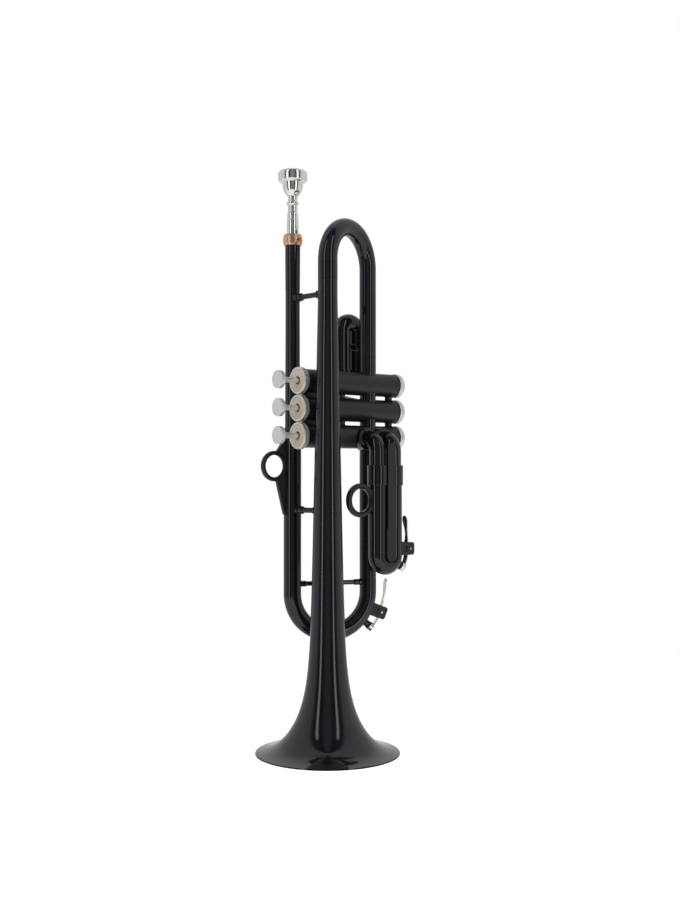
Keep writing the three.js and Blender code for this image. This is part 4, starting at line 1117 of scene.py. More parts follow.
@dataclass
class Mouthpiece(Assembly):
    """The silver mouthpiece in its receiver."""

    collar_top: float = 461.8
    shank_reach: float = 24.0
    shank_tip: float = 4.85
    shank_radius: float = 5.4
    shank_length: float = 15.0
    neck_height: float = 31.8
    neck_radius: float = 4.42
    ring_radius: float = 5.6
    ring_drop: float = 3.1
    cup_length: float = 15.6
    cup_radius: float = 9.75
    rim_radius: float = 13.35
    rim_height: float = 11.1
    bite_radius: float = 8.3
    cup_depth: float = 12.0
    throat_radius: float = 1.9
    backbore_radius: float = 2.6
    cup_shares: tuple[Pair, ...] = (
        (0.22, 0.515), (0.36, 0.69), (0.48, 0.825), (0.6, 0.89), (0.72, 0.935), (0.95, 0.968)
    )

    @property
    def cup_foot(self) -> float:
        """The height where the cup starts."""
        return self.collar_top + self.neck_height

    def outside(self) -> list[Corner]:
        """Returns the outer profile, from the shank's tip to the top of the rim."""
        low, neck, foot, shank = self.collar_top, self.neck_radius, self.cup_foot, self.shank_radius
        wide, long = self.cup_radius, self.cup_length
        cup_top, middle = foot + long, foot - self.ring_drop
        top = cup_top + self.rim_height
        step_low, step_high = low + self.shank_length - 1.8, low + self.shank_length + 4.4
        bead, rim = self.ring_radius - 0.1, self.rim_radius
        shares = [(share * wide, foot + height * long) for height, share in self.cup_shares]
        return [
            (self.backbore_radius, low - self.shank_reach), (self.shank_tip, low - self.shank_reach, 0.3),
            (shank, low), (shank, step_low, 0.2), (shank - 0.3, step_low + 0.7, 0.2),
            (shank - 0.3, step_high, 0.3), (neck + 0.1, step_high + 0.9, 0.4), (neck, middle - 2.2, 0.8),
            (bead, middle - 0.9, 0.5), (bead, middle + 0.7, 0.5), (neck, middle + 1.9, 0.8),
            *flowing([(neck, foot - 0.8), (neck, foot + 1.0), *shares], 5),
            (wide - 0.1, cup_top + 0.2, 0.3), (rim - 0.9, cup_top + 0.7, 0.6),
            (rim, cup_top + 2.2, 0.7), (rim, top - 1.9, 1.3), (rim - 1.6, top - GAP, 1.2),
            (self.bite_radius + 2.1, top, 1.4),
        ]

    def inside(self) -> list[Corner]:
        """Returns the cup's and the bore's profile, from the rim down to the shank's tip."""
        top = self.cup_foot + self.cup_length + self.rim_height
        bite, depth = self.bite_radius, self.cup_depth
        return [
            (bite + 0.5, top - 0.5, 0.9), (bite, top - depth * 0.14, 1.0),
            (bite * 0.88, top - depth * 0.55, 2.2), (bite * 0.55, top - depth * 0.88, 2.2),
            (self.throat_radius, top - depth - 1.4, 1.2),
            (self.throat_radius, self.collar_top + self.shank_length),
            (self.backbore_radius, self.collar_top - self.shank_reach),
        ]

    def build(self) -> None:
        """Builds the mouthpiece."""
        shape = revolved([*self.outside(), *self.inside()], 96, 5).moved(*LEAD, 0)
        shop = self.shop
        shop.piece("silver_mouthpiece", shape, SILVER_PLATE, "mouthpiece_body", "mouthpiece", sharp=50)


@dataclass
class Leadpipe(Assembly):
    """The leadpipe with its collar, receiver, finger rest and braces."""

    bell: Bell
    sleeve_radius: float = 8.0
    sleeve_top: float = 285.0
    top: float = 411.1
    top_radius: float = 6.55
    low_radius: float = 6.9
    joint: float = SLIDE_JOINT
    receiver_top: float = 451.2
    collar_height: float = 10.3
    rest_height: float = 251.1
    rest_reach: float = 20.2
    rest_inner: float = 10.0
    rest_outer: float = 13.7
    rest_thickness: float = 4.4
    web_thickness: float = 3.4
    web_top: float = 275.0
    web_foot: float = 207.0
    upper_brace: float = 403.7
    middle_brace: float = 211.6

    def tube(self) -> Shape:
        """Turns the pipe, which widens downwards and ends in a thicker sleeve."""
        foot, sleeve, top = self.joint + SEAM, self.sleeve_radius, self.top
        profile = [
            (BORE, foot), (sleeve, foot, 0.35), (sleeve, self.sleeve_top, 0.5),
            (self.low_radius, self.sleeve_top + 1.2, 0.4), (self.top_radius, top - 25),
            (self.top_radius, top, 0.3), (BORE, top), (BORE, foot),
        ]
        return revolved(profile, 80)

    def receiver(self) -> Shape:
        """Turns the receiver that holds the mouthpiece's shank."""
        low, step, high = self.top + SEAM, self.receiver_top, self.receiver_top + self.collar_height
        profile = [(BORE, low), (6.72, low, 0.3), (6.95, step, 0.3), (6.5, step), (6.5, high)]
        return revolved([*profile, (BORE, high), (BORE, low)], 80)

    def collar(self) -> Shape:
        """Turns the bellied collar on top of the receiver."""
        low = self.receiver_top + GAP
        high = low + self.collar_height
        shares = [step / 12 for step in range(1, 12)]
        belly = [(8.0 + 0.95 * math.sin(math.pi * s), low + self.collar_height * s) for s in shares]
        profile = [(6.8, low), (7.9, low, 0.3), *belly, (8.0, high, 0.5), (6.8, high), (6.8, low)]
        return revolved(profile, 80)

    def finger_rest(self) -> Shape:
        """Draws the ring for the little finger and the web that carries it."""
        half, z, reach = self.web_thickness / 2, self.rest_height, self.rest_reach
        foot = self.sleeve_radius - half
        edge = -foot - self.web_thickness
        rise = self.rest_outer - self.web_thickness / 3
        web = [
            (-foot, self.web_foot), (-foot, self.web_top), (edge, self.web_top, 1.2),
            (2.0 - reach, z + rise, 1.5), *arc(rise, 90, 271, -reach, z), (2.0 - reach, z - rise, 1.5),
            (edge, self.web_foot, 1.2),
        ]
        hole = arc(self.rest_inner + 1.6, 0, 360, -reach, z)
        loop = ring(self.rest_inner, self.rest_outer, self.rest_thickness)
        return plate([web, hole], -half, half, 0.5) + loop.moved(-reach, 0, z)

    def brace(self, height: float, pipe_radius: float) -> Shape:
        """Draws a brace from the bell to the leadpipe.

        Args:
            height: Its height.
            pipe_radius: The leadpipe's radius there.

        Returns:
            The brace.
        """
        x, y = LEAD
        shape = brace_shape(self.bell.radius_at(height), math.hypot(x, y) - pipe_radius, 2.4, 3.6, 4.4)
        return shape.turned(math.degrees(math.atan2(y, x)), Axis.Z).moved(0, 0, height)

    def build(self) -> None:
        """Builds the pieces on the leadpipe."""
        made = [
            ("lead_tube", self.tube(), POLISHED_ABS, "leadpipe"),
            ("receiver_tube", self.receiver(), POLISHED_ABS, "mouthpiece_receiver"),
            ("rose_gold_collar", self.collar(), ROSE_GOLD, "receiver_collar"),
            ("finger_rest", self.finger_rest(), GRAINED_ABS, "finger_rest_ring"),
        ]
        for name, shape, finish, node in made:
            self.shop.piece(name, shape.moved(*LEAD, 0), finish, "horn", node)
        upper = self.brace(self.upper_brace, self.top_radius)
        middle = self.brace(self.middle_brace, self.sleeve_radius)
        for place, shape in (("upper", upper), ("middle", middle)):
            self.shop.piece(f"bell_brace_{place}", shape, POLISHED_ABS, "horn", f"{place}_brace")


def brace_shape(
    start: float, end: float, rod_radius: float, ferrule_radius: float, boss_radius: float
) -> Shape:
    """Draws a brace along X that swells into a ferrule and a foot on the tubes it joins.

    Args:
        start: Where the surface of the first tube is.
        end: Where the surface of the second tube is.
        rod_radius: The radius of its rod.
        ferrule_radius: The radius of its ferrules.
        boss_radius: The radius of the foot on the second tube.

    Returns:
        The brace.
    """
    sink, waist = ferrule_radius / 2, ferrule_radius * 0.86
    foot = [(0.0, -sink), (ferrule_radius, -sink), (ferrule_radius, 0.9, 0.7), (waist, 1.3, 0.3)]
    foot += [(ferrule_radius, 1.9, 0.4), (ferrule_radius, 4.4, 0.5), (rod_radius, 5.4, 0.5)]
    boss = [(0.0, -2 * sink), (boss_radius, -2 * sink), (boss_radius, 1.6, 0.9), (waist, 2.0, 0.3)]
    boss += [(ferrule_radius, 2.4, 0.4), (ferrule_radius, 5.6, 0.5), (rod_radius, 6.6, 0.5)]
    other = [(radius, end - start - along, *rest) for radius, along, *rest in reversed(boss)]
    return revolved([*foot, *other], 40).along(Axis.X).moved(start, 0, 0)


@dataclass
class WaterKey(Assembly):
    """A water key: saddle, pin, sprung lever and cork, in the plane of the bow that it drains."""

    name: str
    slide_body: str
    key_body: str
    saddle_point: Pair
    saddle_turn: float
    tip: Pair
    bow_centre: Pair
    bow_reach: float
    nipple: float
    cup_turn: float
    place: Matrix
    saddle_reach: float = 12.4
    saddle_height: float = 11.6
    saddle_width: float = 12.4
    slot_width: float = 6.4
    slot_floor: float = 4.6
    panel_reach: float = 3.8
    panel_width: float = 4.8
    panel_height: float = 5.4
    panel_depth: float = 0.8
    pivot_reach: float = 7.6
    pin_radius: float = 1.0
    lever_width: float = 5.4
    paddle_width: float = 6.6
    lever_thickness: float = 1.4
    barrel_radius: float = 2.1
    cup_radius: float = 4.1
    cup_thickness: float = 4.2
    cork_radius: float = 3.4
    cork_thickness: float = 3.2
    nipple_radius: float = 3.3
    paddle_shares: tuple[Pair, ...] = (
        (1.0, 0.35), (0.97, 0.72), (0.88, 1.0), (0.76, 0.95),
        (0.6, 0.62), (0.42, 0.48), (0.22, 0.72), (0.0, 0.82),
    )

    def on_saddle(self, shape: Shape) -> Shape:
        """Places a shape that was drawn at the saddle's foot."""
        x, z = self.saddle_point
        return shape.turned(-self.saddle_turn, Axis.Y).moved(x, 0, z)

    def at_pivot(self, shape: Shape) -> Shape:
        """Places a shape that was drawn at the pivot."""
        return self.on_saddle(shape.moved(self.pivot_reach, 0, 0))

    def on_cup_line(self, shape: Shape) -> Shape:
        """Places an upright shape so that it points from the bow's centre through the cup."""
        x, z = self.bow_centre
        return shape.along(Axis.X).turned(-self.cup_turn, Axis.Y).moved(x, 0, z)

    def cheeks(self) -> Shape:
        """Draws the saddle: two cheeks with a sunk panel each, on a foot across the tube."""
        high, sunk = self.saddle_height / 2, self.panel_height / 2
        base, reach = self.slot_floor, self.saddle_reach
        near, far = self.panel_reach - self.panel_width, self.panel_reach
        inner, outer = self.slot_width / 2, self.saddle_width / 2
        outline = [(-base, -high), (reach, -high, 2.6), (reach, high, 2.6), (-base, high)]
        panel = [(near, -sunk, 0.5), (far, -sunk, 0.5), (far, sunk, 0.5), (near, sunk, 0.5)]
        shape = block((-base, 0.9 - outer, 0.3 - high), (base, outer - 0.9, high - 0.3), 0.4)
        for side in (-1, 1):
            low, top = sorted((side * inner, side * outer))
            shape = shape + plate([outline, panel], low, top, 0.4)
            low, top = sorted((side * inner, side * (outer - self.panel_depth)))
            shape = shape + block((near - 0.6, low, -sunk - 0.6), (far + 0.6, top, sunk + 0.6), 0.1)
        return shape

    def lever(self, cup_back: Pair) -> Shape:
        """Draws the lever with its leaf-shaped paddle, its barrel and its arm.

        Args:
            cup_back: The back of the cup, from the pivot.

        Returns:
            The lever, with its pivot at the origin.
        """
        bow, tip = self.lever_thickness, self.tip
        bends = [(tip[0] / 2 + bow, tip[1] / 2), (0.0, 0.0), (cup_back[0] / 2 + bow, cup_back[1] / 2)]
        course = flowing([tip, *bends, cup_back], 10)
        widths = [self.paddle_width * looked_up(self.paddle_shares, z / tip[1]) for _, z in course]
        bar = strap(course, widths, self.lever_thickness, 0.4)
        half = self.lever_width / 2
        return bar + pipe(self.barrel_radius, self.pin_radius + 0.1, -half, half, 0.3).along(Axis.Y)

    def cup(self, mouth: float, back: float, floor: float) -> Shape:
        """Turns the cup that holds the cork.

        Args:
            mouth: The height of its open rim.
            back: The height of its closed end.
            floor: The height of its floor over the cork.

        Returns:
            The cup, standing on its line.
        """
        inner, outer = self.cork_radius + GAP, self.cup_radius
        profile = [(0, floor), (inner, floor), (inner, mouth, 0.1), (outer, mouth, 0.3), (outer, back, 0.9)]
        return revolved([*profile, (1.6, back, 0.2), (1.2, back - 0.35, 0.2), (0, back - 0.35)], 48)

    def nipple_shape(self) -> Shape:
        """Turns the seat that the cork closes, with a fillet round its foot."""
        reach, radius = self.bow_reach, self.nipple_radius
        low, high, bore = reach - 3, reach + self.nipple, 1.5
        fillet = [(bore, low), (radius + 1.2, low), (radius + 0.9, reach - 0.3, 0.8)]
        seat = [(radius, reach + 0.4, 0.6), (radius, high, 0.25), (bore, high), (bore, low)]
        return self.on_cup_line(revolved([*fillet, *seat], 48))

    def spring(self) -> Shape:
        """Winds the torsion spring round the pin, with its two straight ends."""
        wire, side = 0.3, 1.2
        shape = self.tools.spring(3.5, 2.0, 2 * side, wire).moved(0, 0, -side).along(Axis.Y)
        ends = [(-side, [(-2.0, 0), (-3.4, 3.4), (-4.6, 5.2)]), (side, [(2.0, 0), (1.9, 3.2), (1.7, 6.4)])]
        for y, course in ends:
            shape = shape + self.tools.tube([Vector((x, y, z)) for x, z in course], [wire] * 3, 10)
        return shape

    def build(self) -> None:
        """Builds the pieces of the water key."""
        cork_foot = self.bow_reach + self.nipple + GAP
        cork_top = cork_foot + self.cork_thickness
        back = cork_top + GAP + self.cup_thickness / 2
        turn, cup_turn = math.radians(self.saddle_turn), math.radians(self.cup_turn)
        cosine, sine = math.cos(turn), math.sin(turn)
        pivot = Vector(self.saddle_point) + Vector((cosine, sine)) * self.pivot_reach
        reach = back - self.lever_thickness / 2
        away = Vector(self.bow_centre) + Vector((math.cos(cup_turn), math.sin(cup_turn))) * reach - pivot
        cup_back = (away.x * cosine + away.y * sine, away.y * cosine - away.x * sine)
        half, shaft = self.saddle_width / 2, self.pin_radius
        end, head = half + 0.5, shaft * 1.1
        profile = [(0, -end), (head, -end, 0.35), (head, 0.1 - half), (shaft, 0.1 - half)]
        pin = revolved([*profile, (shaft, end, 0.35), (0, end)], 32).along(Axis.Y)
        cork = rod(self.cork_radius, cork_foot, cork_top, 0.5)
        cup = self.cup(cork_top - self.cup_thickness / 2, back, cork_top + GAP)
        lever = self.at_pivot(self.lever(cup_back)) + self.on_cup_line(cup)
        slide, key = self.slide_body, self.key_body
        made = [
            ("saddle", self.on_saddle(self.cheeks()), GRAINED_ABS, slide, "saddle"),
            ("hinge_pin", self.at_pivot(pin), SPRING_WIRE, slide, "pin"),
            ("paddle_lever", lever, STAMPED_PLATE, key, "lever"),
            ("cork_pad", self.on_cup_line(cork), KEY_RUBBER, key, "cork"),
            ("torsion_spring", self.at_pivot(self.spring()), SPRING_WIRE, slide, "spring"),
        ]
        for label, shape, finish, body, node in made:
            name = f"{self.name}_water_{label}"
            self.shop.piece(name, shape.mapped(self.place), finish, body, f"{self.name}_key_{node}")


@dataclass
class TuningSlide(Assembly):
    """The main tuning slide and the tube that it feeds."""

    lead_radius: float = 8.0
    tube_radius: float = ENTRY_TUBE
    joint: float = SLIDE_JOINT
    centre: float = 135.7
    inner_reach: float = 48.0
    inner_depth: float = 30.0
    brace_height: float = 144.4
    third_valve: float = TOP_VALVE - 2 * VALVE_PITCH
    key_turn: float = -22.2

    @property
    def half(self) -> float:
        """Half the distance between the two legs."""
        return math.dist(LEAD, ENTRY) / 2

    @property
    def place(self) -> Matrix:
        """The matrix from the slide's own plane to the instrument's frame."""
        (low_x, low_y), (high_x, high_y) = LEAD, ENTRY
        turn = math.atan2(high_y - low_y, high_x - low_x)
        middle = ((low_x + high_x) / 2, (low_y + high_y) / 2, self.centre)
        return Matrix.Translation(middle) @ Matrix.Rotation(turn, 4, "Z")

    def key(self) -> WaterKey:
        """Returns the water key at the foot of the slide."""
        turn, reach = math.radians(self.key_turn), self.half + self.tube_radius
        return WaterKey(
            self.shop, name="main", slide_body="tuning_slide", key_body="main_key",
            saddle_point=(reach * math.cos(turn), reach * math.sin(turn)), saddle_turn=self.key_turn,
            tip=(-5.8, 30.9), bow_centre=(0.0, 0.0), bow_reach=reach, nipple=3.2, cup_turn=-40.2,
            place=self.place,
        )

    def build(self) -> None:
        """Builds the pieces of the slide and the tube over it."""
        shop, body, half = self.shop, "tuning_slide", self.half
        lead, radius, rise = self.lead_radius, self.tube_radius, self.joint - self.centre
        key = self.key()
        crook = self.tools.bow(half, -180, (rise, rise), (lead, radius), 64, 64)
        crook = (crook + key.nipple_shape()).mapped(self.place)
        shop.piece("tuning_bow", crook, POLISHED_ABS, body, "tuning_slide_crook", sharp=60)
        for number, x in ((1, -half), (2, half)):
            tube = pipe(INNER_TUBE, BORE, rise - self.inner_depth, rise + self.inner_reach, 0.2)
            placed, name = tube.moved(x, 0, 0).mapped(self.place), f"inner_tube_{number}"
            shop.piece(f"tuning_{name}", placed, SLIDE_TUBE, body, f"{body}_{name}")
        brace = brace_shape(lead - half, half - radius, 2.15, 2.75, 2.9)
        brace = brace.moved(0, 0, self.brace_height - self.centre).mapped(self.place)
        shop.piece("tuning_brace", brace, POLISHED_ABS, body, "tuning_slide_brace")
        tube = pipe(radius, BORE + 0.9, self.joint + SEAM - self.third_valve, -SEAT_END, 0.35)
        tube = tube.seated(-SEAT_END, TUBE_SEAT).moved(*ENTRY, self.third_valve)
        shop.piece("valve_entry_tube", tube, POLISHED_ABS, "horn", "lower_tube")
        key.build()


@dataclass
class ValveBlock(Assembly):
    """The three valves, the knuckles between them and all that moves in them."""

    y: float = ENTRY[1]
    top_height: float = TOP_VALVE
    pitch: float = VALVE_PITCH
    casing_bore: float = 9.5
    casing_start: float = -11.1
    casing_end: float = 94.7
    knuckle_radius: float = 7.45
    link_radius: float = 3.4
    link_near: float = 33.0
    link_far: float = 89.0
    web_start: float = -10.5
    web_end: float = 8.0
    web_thickness: float = 4.0
    foot_radius: float = 11.25
    foot_length: float = 7.0
    cap_radius: float = 12.08
    cap_length: float = 5.7
    cap_rim: float = 1.9
    cap_recess: float = 1.5
    cap_hole: float = 4.8
    felt_hole: float = 3.7
    ridges: int = 54
    button_radius: float = 8.07
    button_thickness: float = 4.2
    button_reach: float = 21.6
    stem_radius: float = 2.57
    spring_low: float = -5.7
    spring_high: float = 17.5
    spring_turns: float = 7.0
    coil_radius: float = 6.1
    wire_radius: float = 0.45
    stroke: float = 16.5

    @property
    def cap_front(self) -> float:
        """Where the top caps start, along the valves."""
        return self.casing_start - GAP - self.cap_length

    def height(self, index: int) -> float:
        """Returns the height of a valve's axis."""
        return self.top_height - index * self.pitch

    def lie(self, shape: Shape, index: int) -> Shape:
        """Lays a shape that was drawn upright into a valve's place."""
        return shape.along(Axis.X).moved(0, self.y, self.height(index))

    def casing(self, index: int) -> Shape:
        """Draws a casing with the studs and the web that hold the next one.

        Args:
            index: The valve's place from the top.

        Returns:
            The casing.
        """
        shape = pipe(CASING, self.casing_bore, self.casing_start, self.casing_end, 0.5)
        shape = self.lie(shape, index)
        if index < 2:
            low, high = self.height(index + 1) + 9.9, self.height(index) - 9.9
            thin, wide = self.link_radius, self.link_radius + 1.2
            profile = [(0, low), (wide, low), (thin, low + 1.0, 0.5), (thin, high - 1.0, 0.5), (wide, high)]
            stud = revolved([*profile, (0, high)], 40)
            for x in (self.link_near, self.link_far):
                shape = shape + stud.moved(x, self.y, 0)
            half = self.web_thickness / 2
            ends = (self.web_start, self.y - half, low), (self.web_end, self.y + half, high)
            shape = shape + block(*ends, 0.4)
        return shape

    def top_cap(self) -> Shape:
        """Turns a top cap: a bright lip round the felt, and ridges behind it."""
        start, end = self.cap_front, self.casing_start - GAP
        floor, hole, rim = start + self.cap_recess, self.cap_hole, self.cap_radius
        inner, root, collar = rim - self.cap_rim, rim - 0.42, 9.2
        profile = [
            (hole, floor), (inner, floor), (inner, start + 0.1, 0.3), (inner + 0.35, start, 0.25),
            (rim - 0.5, start, 0.45), (rim, start + 0.6, 0.4), (rim, start + 1.7, 0.3),
            (root, start + 2.0, 0.15), (root, end - 0.5, 0.15), (root - 0.4, end, 0.2),
            (collar, end), (collar, end + 2.8), (hole, end + 2.8), (hole, floor),
        ]
        length = self.cap_length - 2.6
        ridges = self.tools.ridge_ring(self.ridges, root - 0.02, 0.38, length)
        return revolved(profile, 108) + ridges.moved(0, 0, start + 2.1 + length / 2)

    def felt(self) -> Shape:
        """Turns the felt ring in a top cap."""
        floor = self.cap_front + self.cap_recess - GAP
        return pipe(self.cap_radius - self.cap_rim - 0.05, self.felt_hole, floor - 0.8, floor, 0.3)

    def button(self) -> Shape:
        """Turns a finger button with its stem: a slightly dished face in a soft rim."""
        face = self.cap_front - self.button_reach
        back, top = face + self.button_thickness, self.casing_start + 3.6 - GAP
        wide, stem = self.button_radius, self.stem_radius
        profile = [
            (0, face + 0.28), (wide * 0.55, face + 0.22, 0.8), (wide - 1.1, face, 0.6), (wide, face, 0.75),
            (wide, back, 0.8), (4.4, back, 0.5), (3.5, back + 1.1, 0.8), (stem, back + 3.4, 1.2),
            (stem, top), (0, top),
        ]
        return revolved(profile, 80, 5)

    def bottom_cap(self) -> Shape:
        """Turns a bottom cap with its groove, its rounded end and its small nipple."""
        start, bore, wide = self.casing_end + GAP, self.casing_bore, self.foot_radius
        end, groove = start + self.foot_length, wide - 0.2
        profile = [
            (bore, start), (wide, start, 0.35), (wide, start + 1.5, 0.1), (groove, start + 1.6, 0.1),
            (groove, start + 1.9, 0.1), (wide, start + 2.0, 0.1), (wide, end - 2.2, 1.6),
            (wide - 2.2, end, 1.4), (3.4, end, 0.2), (3.4, end + 0.7, 0.3), (0, end + 0.7),
            (0, end - 1.6), (bore - 1.6, end - 1.6), (bore, end - 3.8), (bore, start),
        ]
        return revolved(profile, 96)

    def knuckle(self, index: int) -> Shape:
        """Draws the knuckle under a valve, seated on both casings.

        Args:
            index: The valve's place from the top.

        Returns:
            The knuckle.
        """
        half = self.pitch / 2
        tube = pipe(self.knuckle_radius, BORE, SEAT_END - half, half - SEAT_END)
        seated = []
        for v in tube.vertices:
            rise = half - math.sqrt(max(TUBE_SEAT**2 - v.y**2, 0))
            seated.append(Vector((v.x, v.y, math.copysign(rise, v.z))))
        return Shape(seated, tube.faces).moved(*ENTRY, self.height(index) - half)

    def build(self) -> None:
        """Builds the pieces of the valves."""
        shop = self.shop
        for index, number in enumerate((1, 2, 3)):
            pressed = f"valve_{number}"
            made = [
                ("valve_tube", self.casing(index), GRAINED_ABS, "horn", "valve_casing"),
                ("ridged_cap", self.lie(self.top_cap(), index), SATIN_NICKEL, "horn", "top_cap"),
                ("felt_ring", self.lie(self.felt(), index), WOOL_FELT, "horn", "cap_felt"),
                ("foot_cap", self.lie(self.bottom_cap(), index), SATIN_NICKEL, "horn", "bottom_cap"),
                ("button_and_stem", self.lie(self.button(), index), FROSTED_NICKEL, pressed, "finger_button"),
            ]
            for label, shape, finish, body, node in made:
                shop.piece(f"{label}_{number}", shape, finish, body, f"{node}_{number}")
            self.spring(index, number)
            shop.dress(f"piston_{number}", MONEL)
            shop.dress(f"valve_guide_{number}", NYLON)
            if index < 2:
                name = f"knuckle_{number}_{number + 1}"
                shop.piece(f"valve_{name}", self.knuckle(index), POLISHED_ABS, "horn", name)

    def spring(self, index: int, number: int) -> None:
        """Winds a valve's spring.

        Args:
            index: The valve's place from the top.
            number: The valve's number.
        """
        room, wire = self.spring_high - self.spring_low, self.wire_radius
        coil = self.tools.spring(self.spring_turns, self.coil_radius, room - 2 * wire, wire)
        coil = self.lie(coil.moved(0, 0, self.spring_low + wire), index)
        name = f"valve_spring_{number}"
        made = self.shop.piece(f"wound_{name}", coil, SPRING_WIRE, "horn", name)
        anchor = self.shop.to_row(self.spring_high, self.y, self.height(index))
        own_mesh(made)


@dataclass
class ValveSlide(Assembly):
    """What the three valve slides share: a fixed neck and a bow that slides on it.

    A slide is drawn hanging from its ports, with its valve behind it at +Y.
    """

    place: Matrix = field(default_factory=Matrix)
    drop: float = 42.6
    sleeve_height: float = 18.4
    far_drop: float = 81.0
    bow_drop: float = 106.3
    valve_offset: float = 27.5
    half: float = 9.25
    radius: float = 8.15
    neck_radius: float = 7.4
    boss_radius: float = 10.4
    boss_length: float = 3.4
    elbow_radius: float = 12.0
    sleeve_radius: float = 9.2
    web_depth: float = 6.4

    def elbow(self, x: float) -> Shape:
        """Draws an elbow from a sleeve up and back into the valve, with its boss.

        Args:
            x: Where it stands across the slide.

        Returns:
            The elbow.
        """
        r, neck, wide = self.elbow_radius, self.neck_radius, self.boss_radius
        line = [Vector((0, 0, 0.5 - self.drop)), Vector((0, 0, -self.drop / 2 - r / 2))]
        line += [Vector((0, r - y, z - r)) for y, z in arc(r, 0, 91, step=6)]
        line.append(Vector((0, self.valve_offset - CASING - 1.0, 0)))
        tube = self.tools.tube(line, [neck] * len(line), 56)
        start = -CASING - self.boss_length
        profile = [
            (0, start - 0.9), (neck + 0.1, start - 0.9), (neck + 0.9, start - 0.1, 0.6),
            (wide - 0.7, start, 0.5), (wide, start + 0.7, 0.6), (wide, -SEAT_END), (0, -SEAT_END),
        ]
        boss = revolved(profile, 72).seated(-SEAT_END, BOSS_SEAT)
        return (tube + boss.along(Axis.Y).moved(0, self.valve_offset, 0)).moved(x, 0, 0)

    def neck(self) -> Shape:
        """Draws the fixed part of the slide."""
        low, inner = -self.drop, INNER_TUBE + 0.5
        shape = self.elbow(-self.half) + self.elbow(self.half)
        for x in (-self.half, self.half):
            sleeve = pipe(self.sleeve_radius, inner, low, low + self.sleeve_height, 0.6)
            shape = shape + sleeve.moved(x, 0, 0)
        if self.far_drop > self.drop:
            shape = shape + pipe(self.radius, inner, -self.far_drop, low, 0.3).moved(self.half, 0, 0)
        return shape

    def bow(self, leg: Pair) -> Shape:
        """Draws the round tube of the sliding bow, whose bend has its centre at the origin."""
        return self.tools.bow(self.half, -180, leg, (self.radius, self.radius), 40, 56)

    def sliding(self) -> Shape:
        """Draws the hanging bow with the panel between its legs."""
        near, far = (self.bow_drop - drop - SEAM for drop in (self.drop, self.far_drop))
        outline = self.tongue(self.half - 1.0, -self.bow_drop, far - self.bow_drop)
        panel = plate([outline], -self.web_depth, self.web_depth, 0.4)
        return self.bow((near, far)).moved(0, 0, -self.bow_drop) + panel

    def tongue(self, half: float, low: float, high: float) -> list[Corner]:
        """Returns the outline of a strip with a round foot."""
        return [(-half, high, 0.5), *arc(half, 180, 361, 0.0, low), (half, high, 0.5)]


@dataclass
class ThirdSlide(ValveSlide):
    """The third valve's slide, with its finger ring, its guide strip and its water key."""

    strip_rise: float = 58.0
    ring_inner: float = 10.5
    ring_outer: float = 15.3
    ring_thickness: float = 4.6
    ring_drop: float = 55.8
    ring_reach: float = 29.2
    plate_half: float = 5.2
    plate_depth: float = 9.2

    def key(self) -> WaterKey:
        """Returns the water key at the foot of the slide."""
        reach = self.half + self.radius
        return WaterKey(
            self.shop, name="third", slide_body="third_slide", key_body="third_key",
            saddle_point=(reach, 5.8 - self.bow_drop), saddle_turn=0.0, tip=(-2.0, 30.0),
            bow_centre=(0.0, -self.bow_drop), bow_reach=reach, nipple=1.2, cup_turn=-28.5, place=self.place,
        )

    def strip(self) -> Shape:
        """Draws the strip on the neck that closes the space between the legs, with its raised flat."""
        foot, edge = -self.far_drop, self.half - 3.0
        top = foot + self.strip_rise + self.sleeve_height
        left, right = 0.9 - self.plate_half, self.plate_half - 0.6
        flat = [(left, foot), (right, foot), (right, top, 0.8), (left, top, 0.8)]
        low = [(0.3, foot), (edge, foot), (edge, top, 0.8), (0.3, top, 0.8)]
        return plate([flat], -self.plate_depth, -self.web_depth, 0.55) + plate([low], -7.2, -3.6, 0.4)

    def crook_plate(self) -> Shape:
        """Draws the raised flat of the bow, with its round foot."""
        outline = self.tongue(self.plate_half, -self.bow_drop, -self.far_drop - SEAM)
        return plate([outline], -self.plate_depth, 0.5 - self.web_depth, 0.6)

    def build(self) -> None:
        """Builds the pieces of the third slide."""
        shop, key = self.shop, self.key()
        neck = (self.neck() + self.strip()).mapped(self.place)
        shop.piece("third_slide_elbows", neck, POLISHED_ABS, "horn", "third_slide_neck")
        loop = ring(self.ring_inner, self.ring_outer, self.ring_thickness)
        loop = loop.moved(-self.ring_reach, 0, -self.ring_drop)
        bow = (self.sliding() + self.crook_plate() + loop + key.nipple_shape()).mapped(self.place)
        shop.piece("third_slide_bow", bow, POLISHED_ABS, "third_slide", "third_slide_crook")
        for number, x in ((1, -self.half), (2, self.half)):
            tube = pipe(INNER_TUBE, BORE, 4.0 - self.bow_drop, -self.elbow_radius - GAP, 0.2)
            name = f"third_slide_inner_tube_{number}"
            shop.piece(f"drawn_{name}", tube.moved(x, 0, 0).mapped(self.place), SLIDE_TUBE, "horn", name)
        key.build()


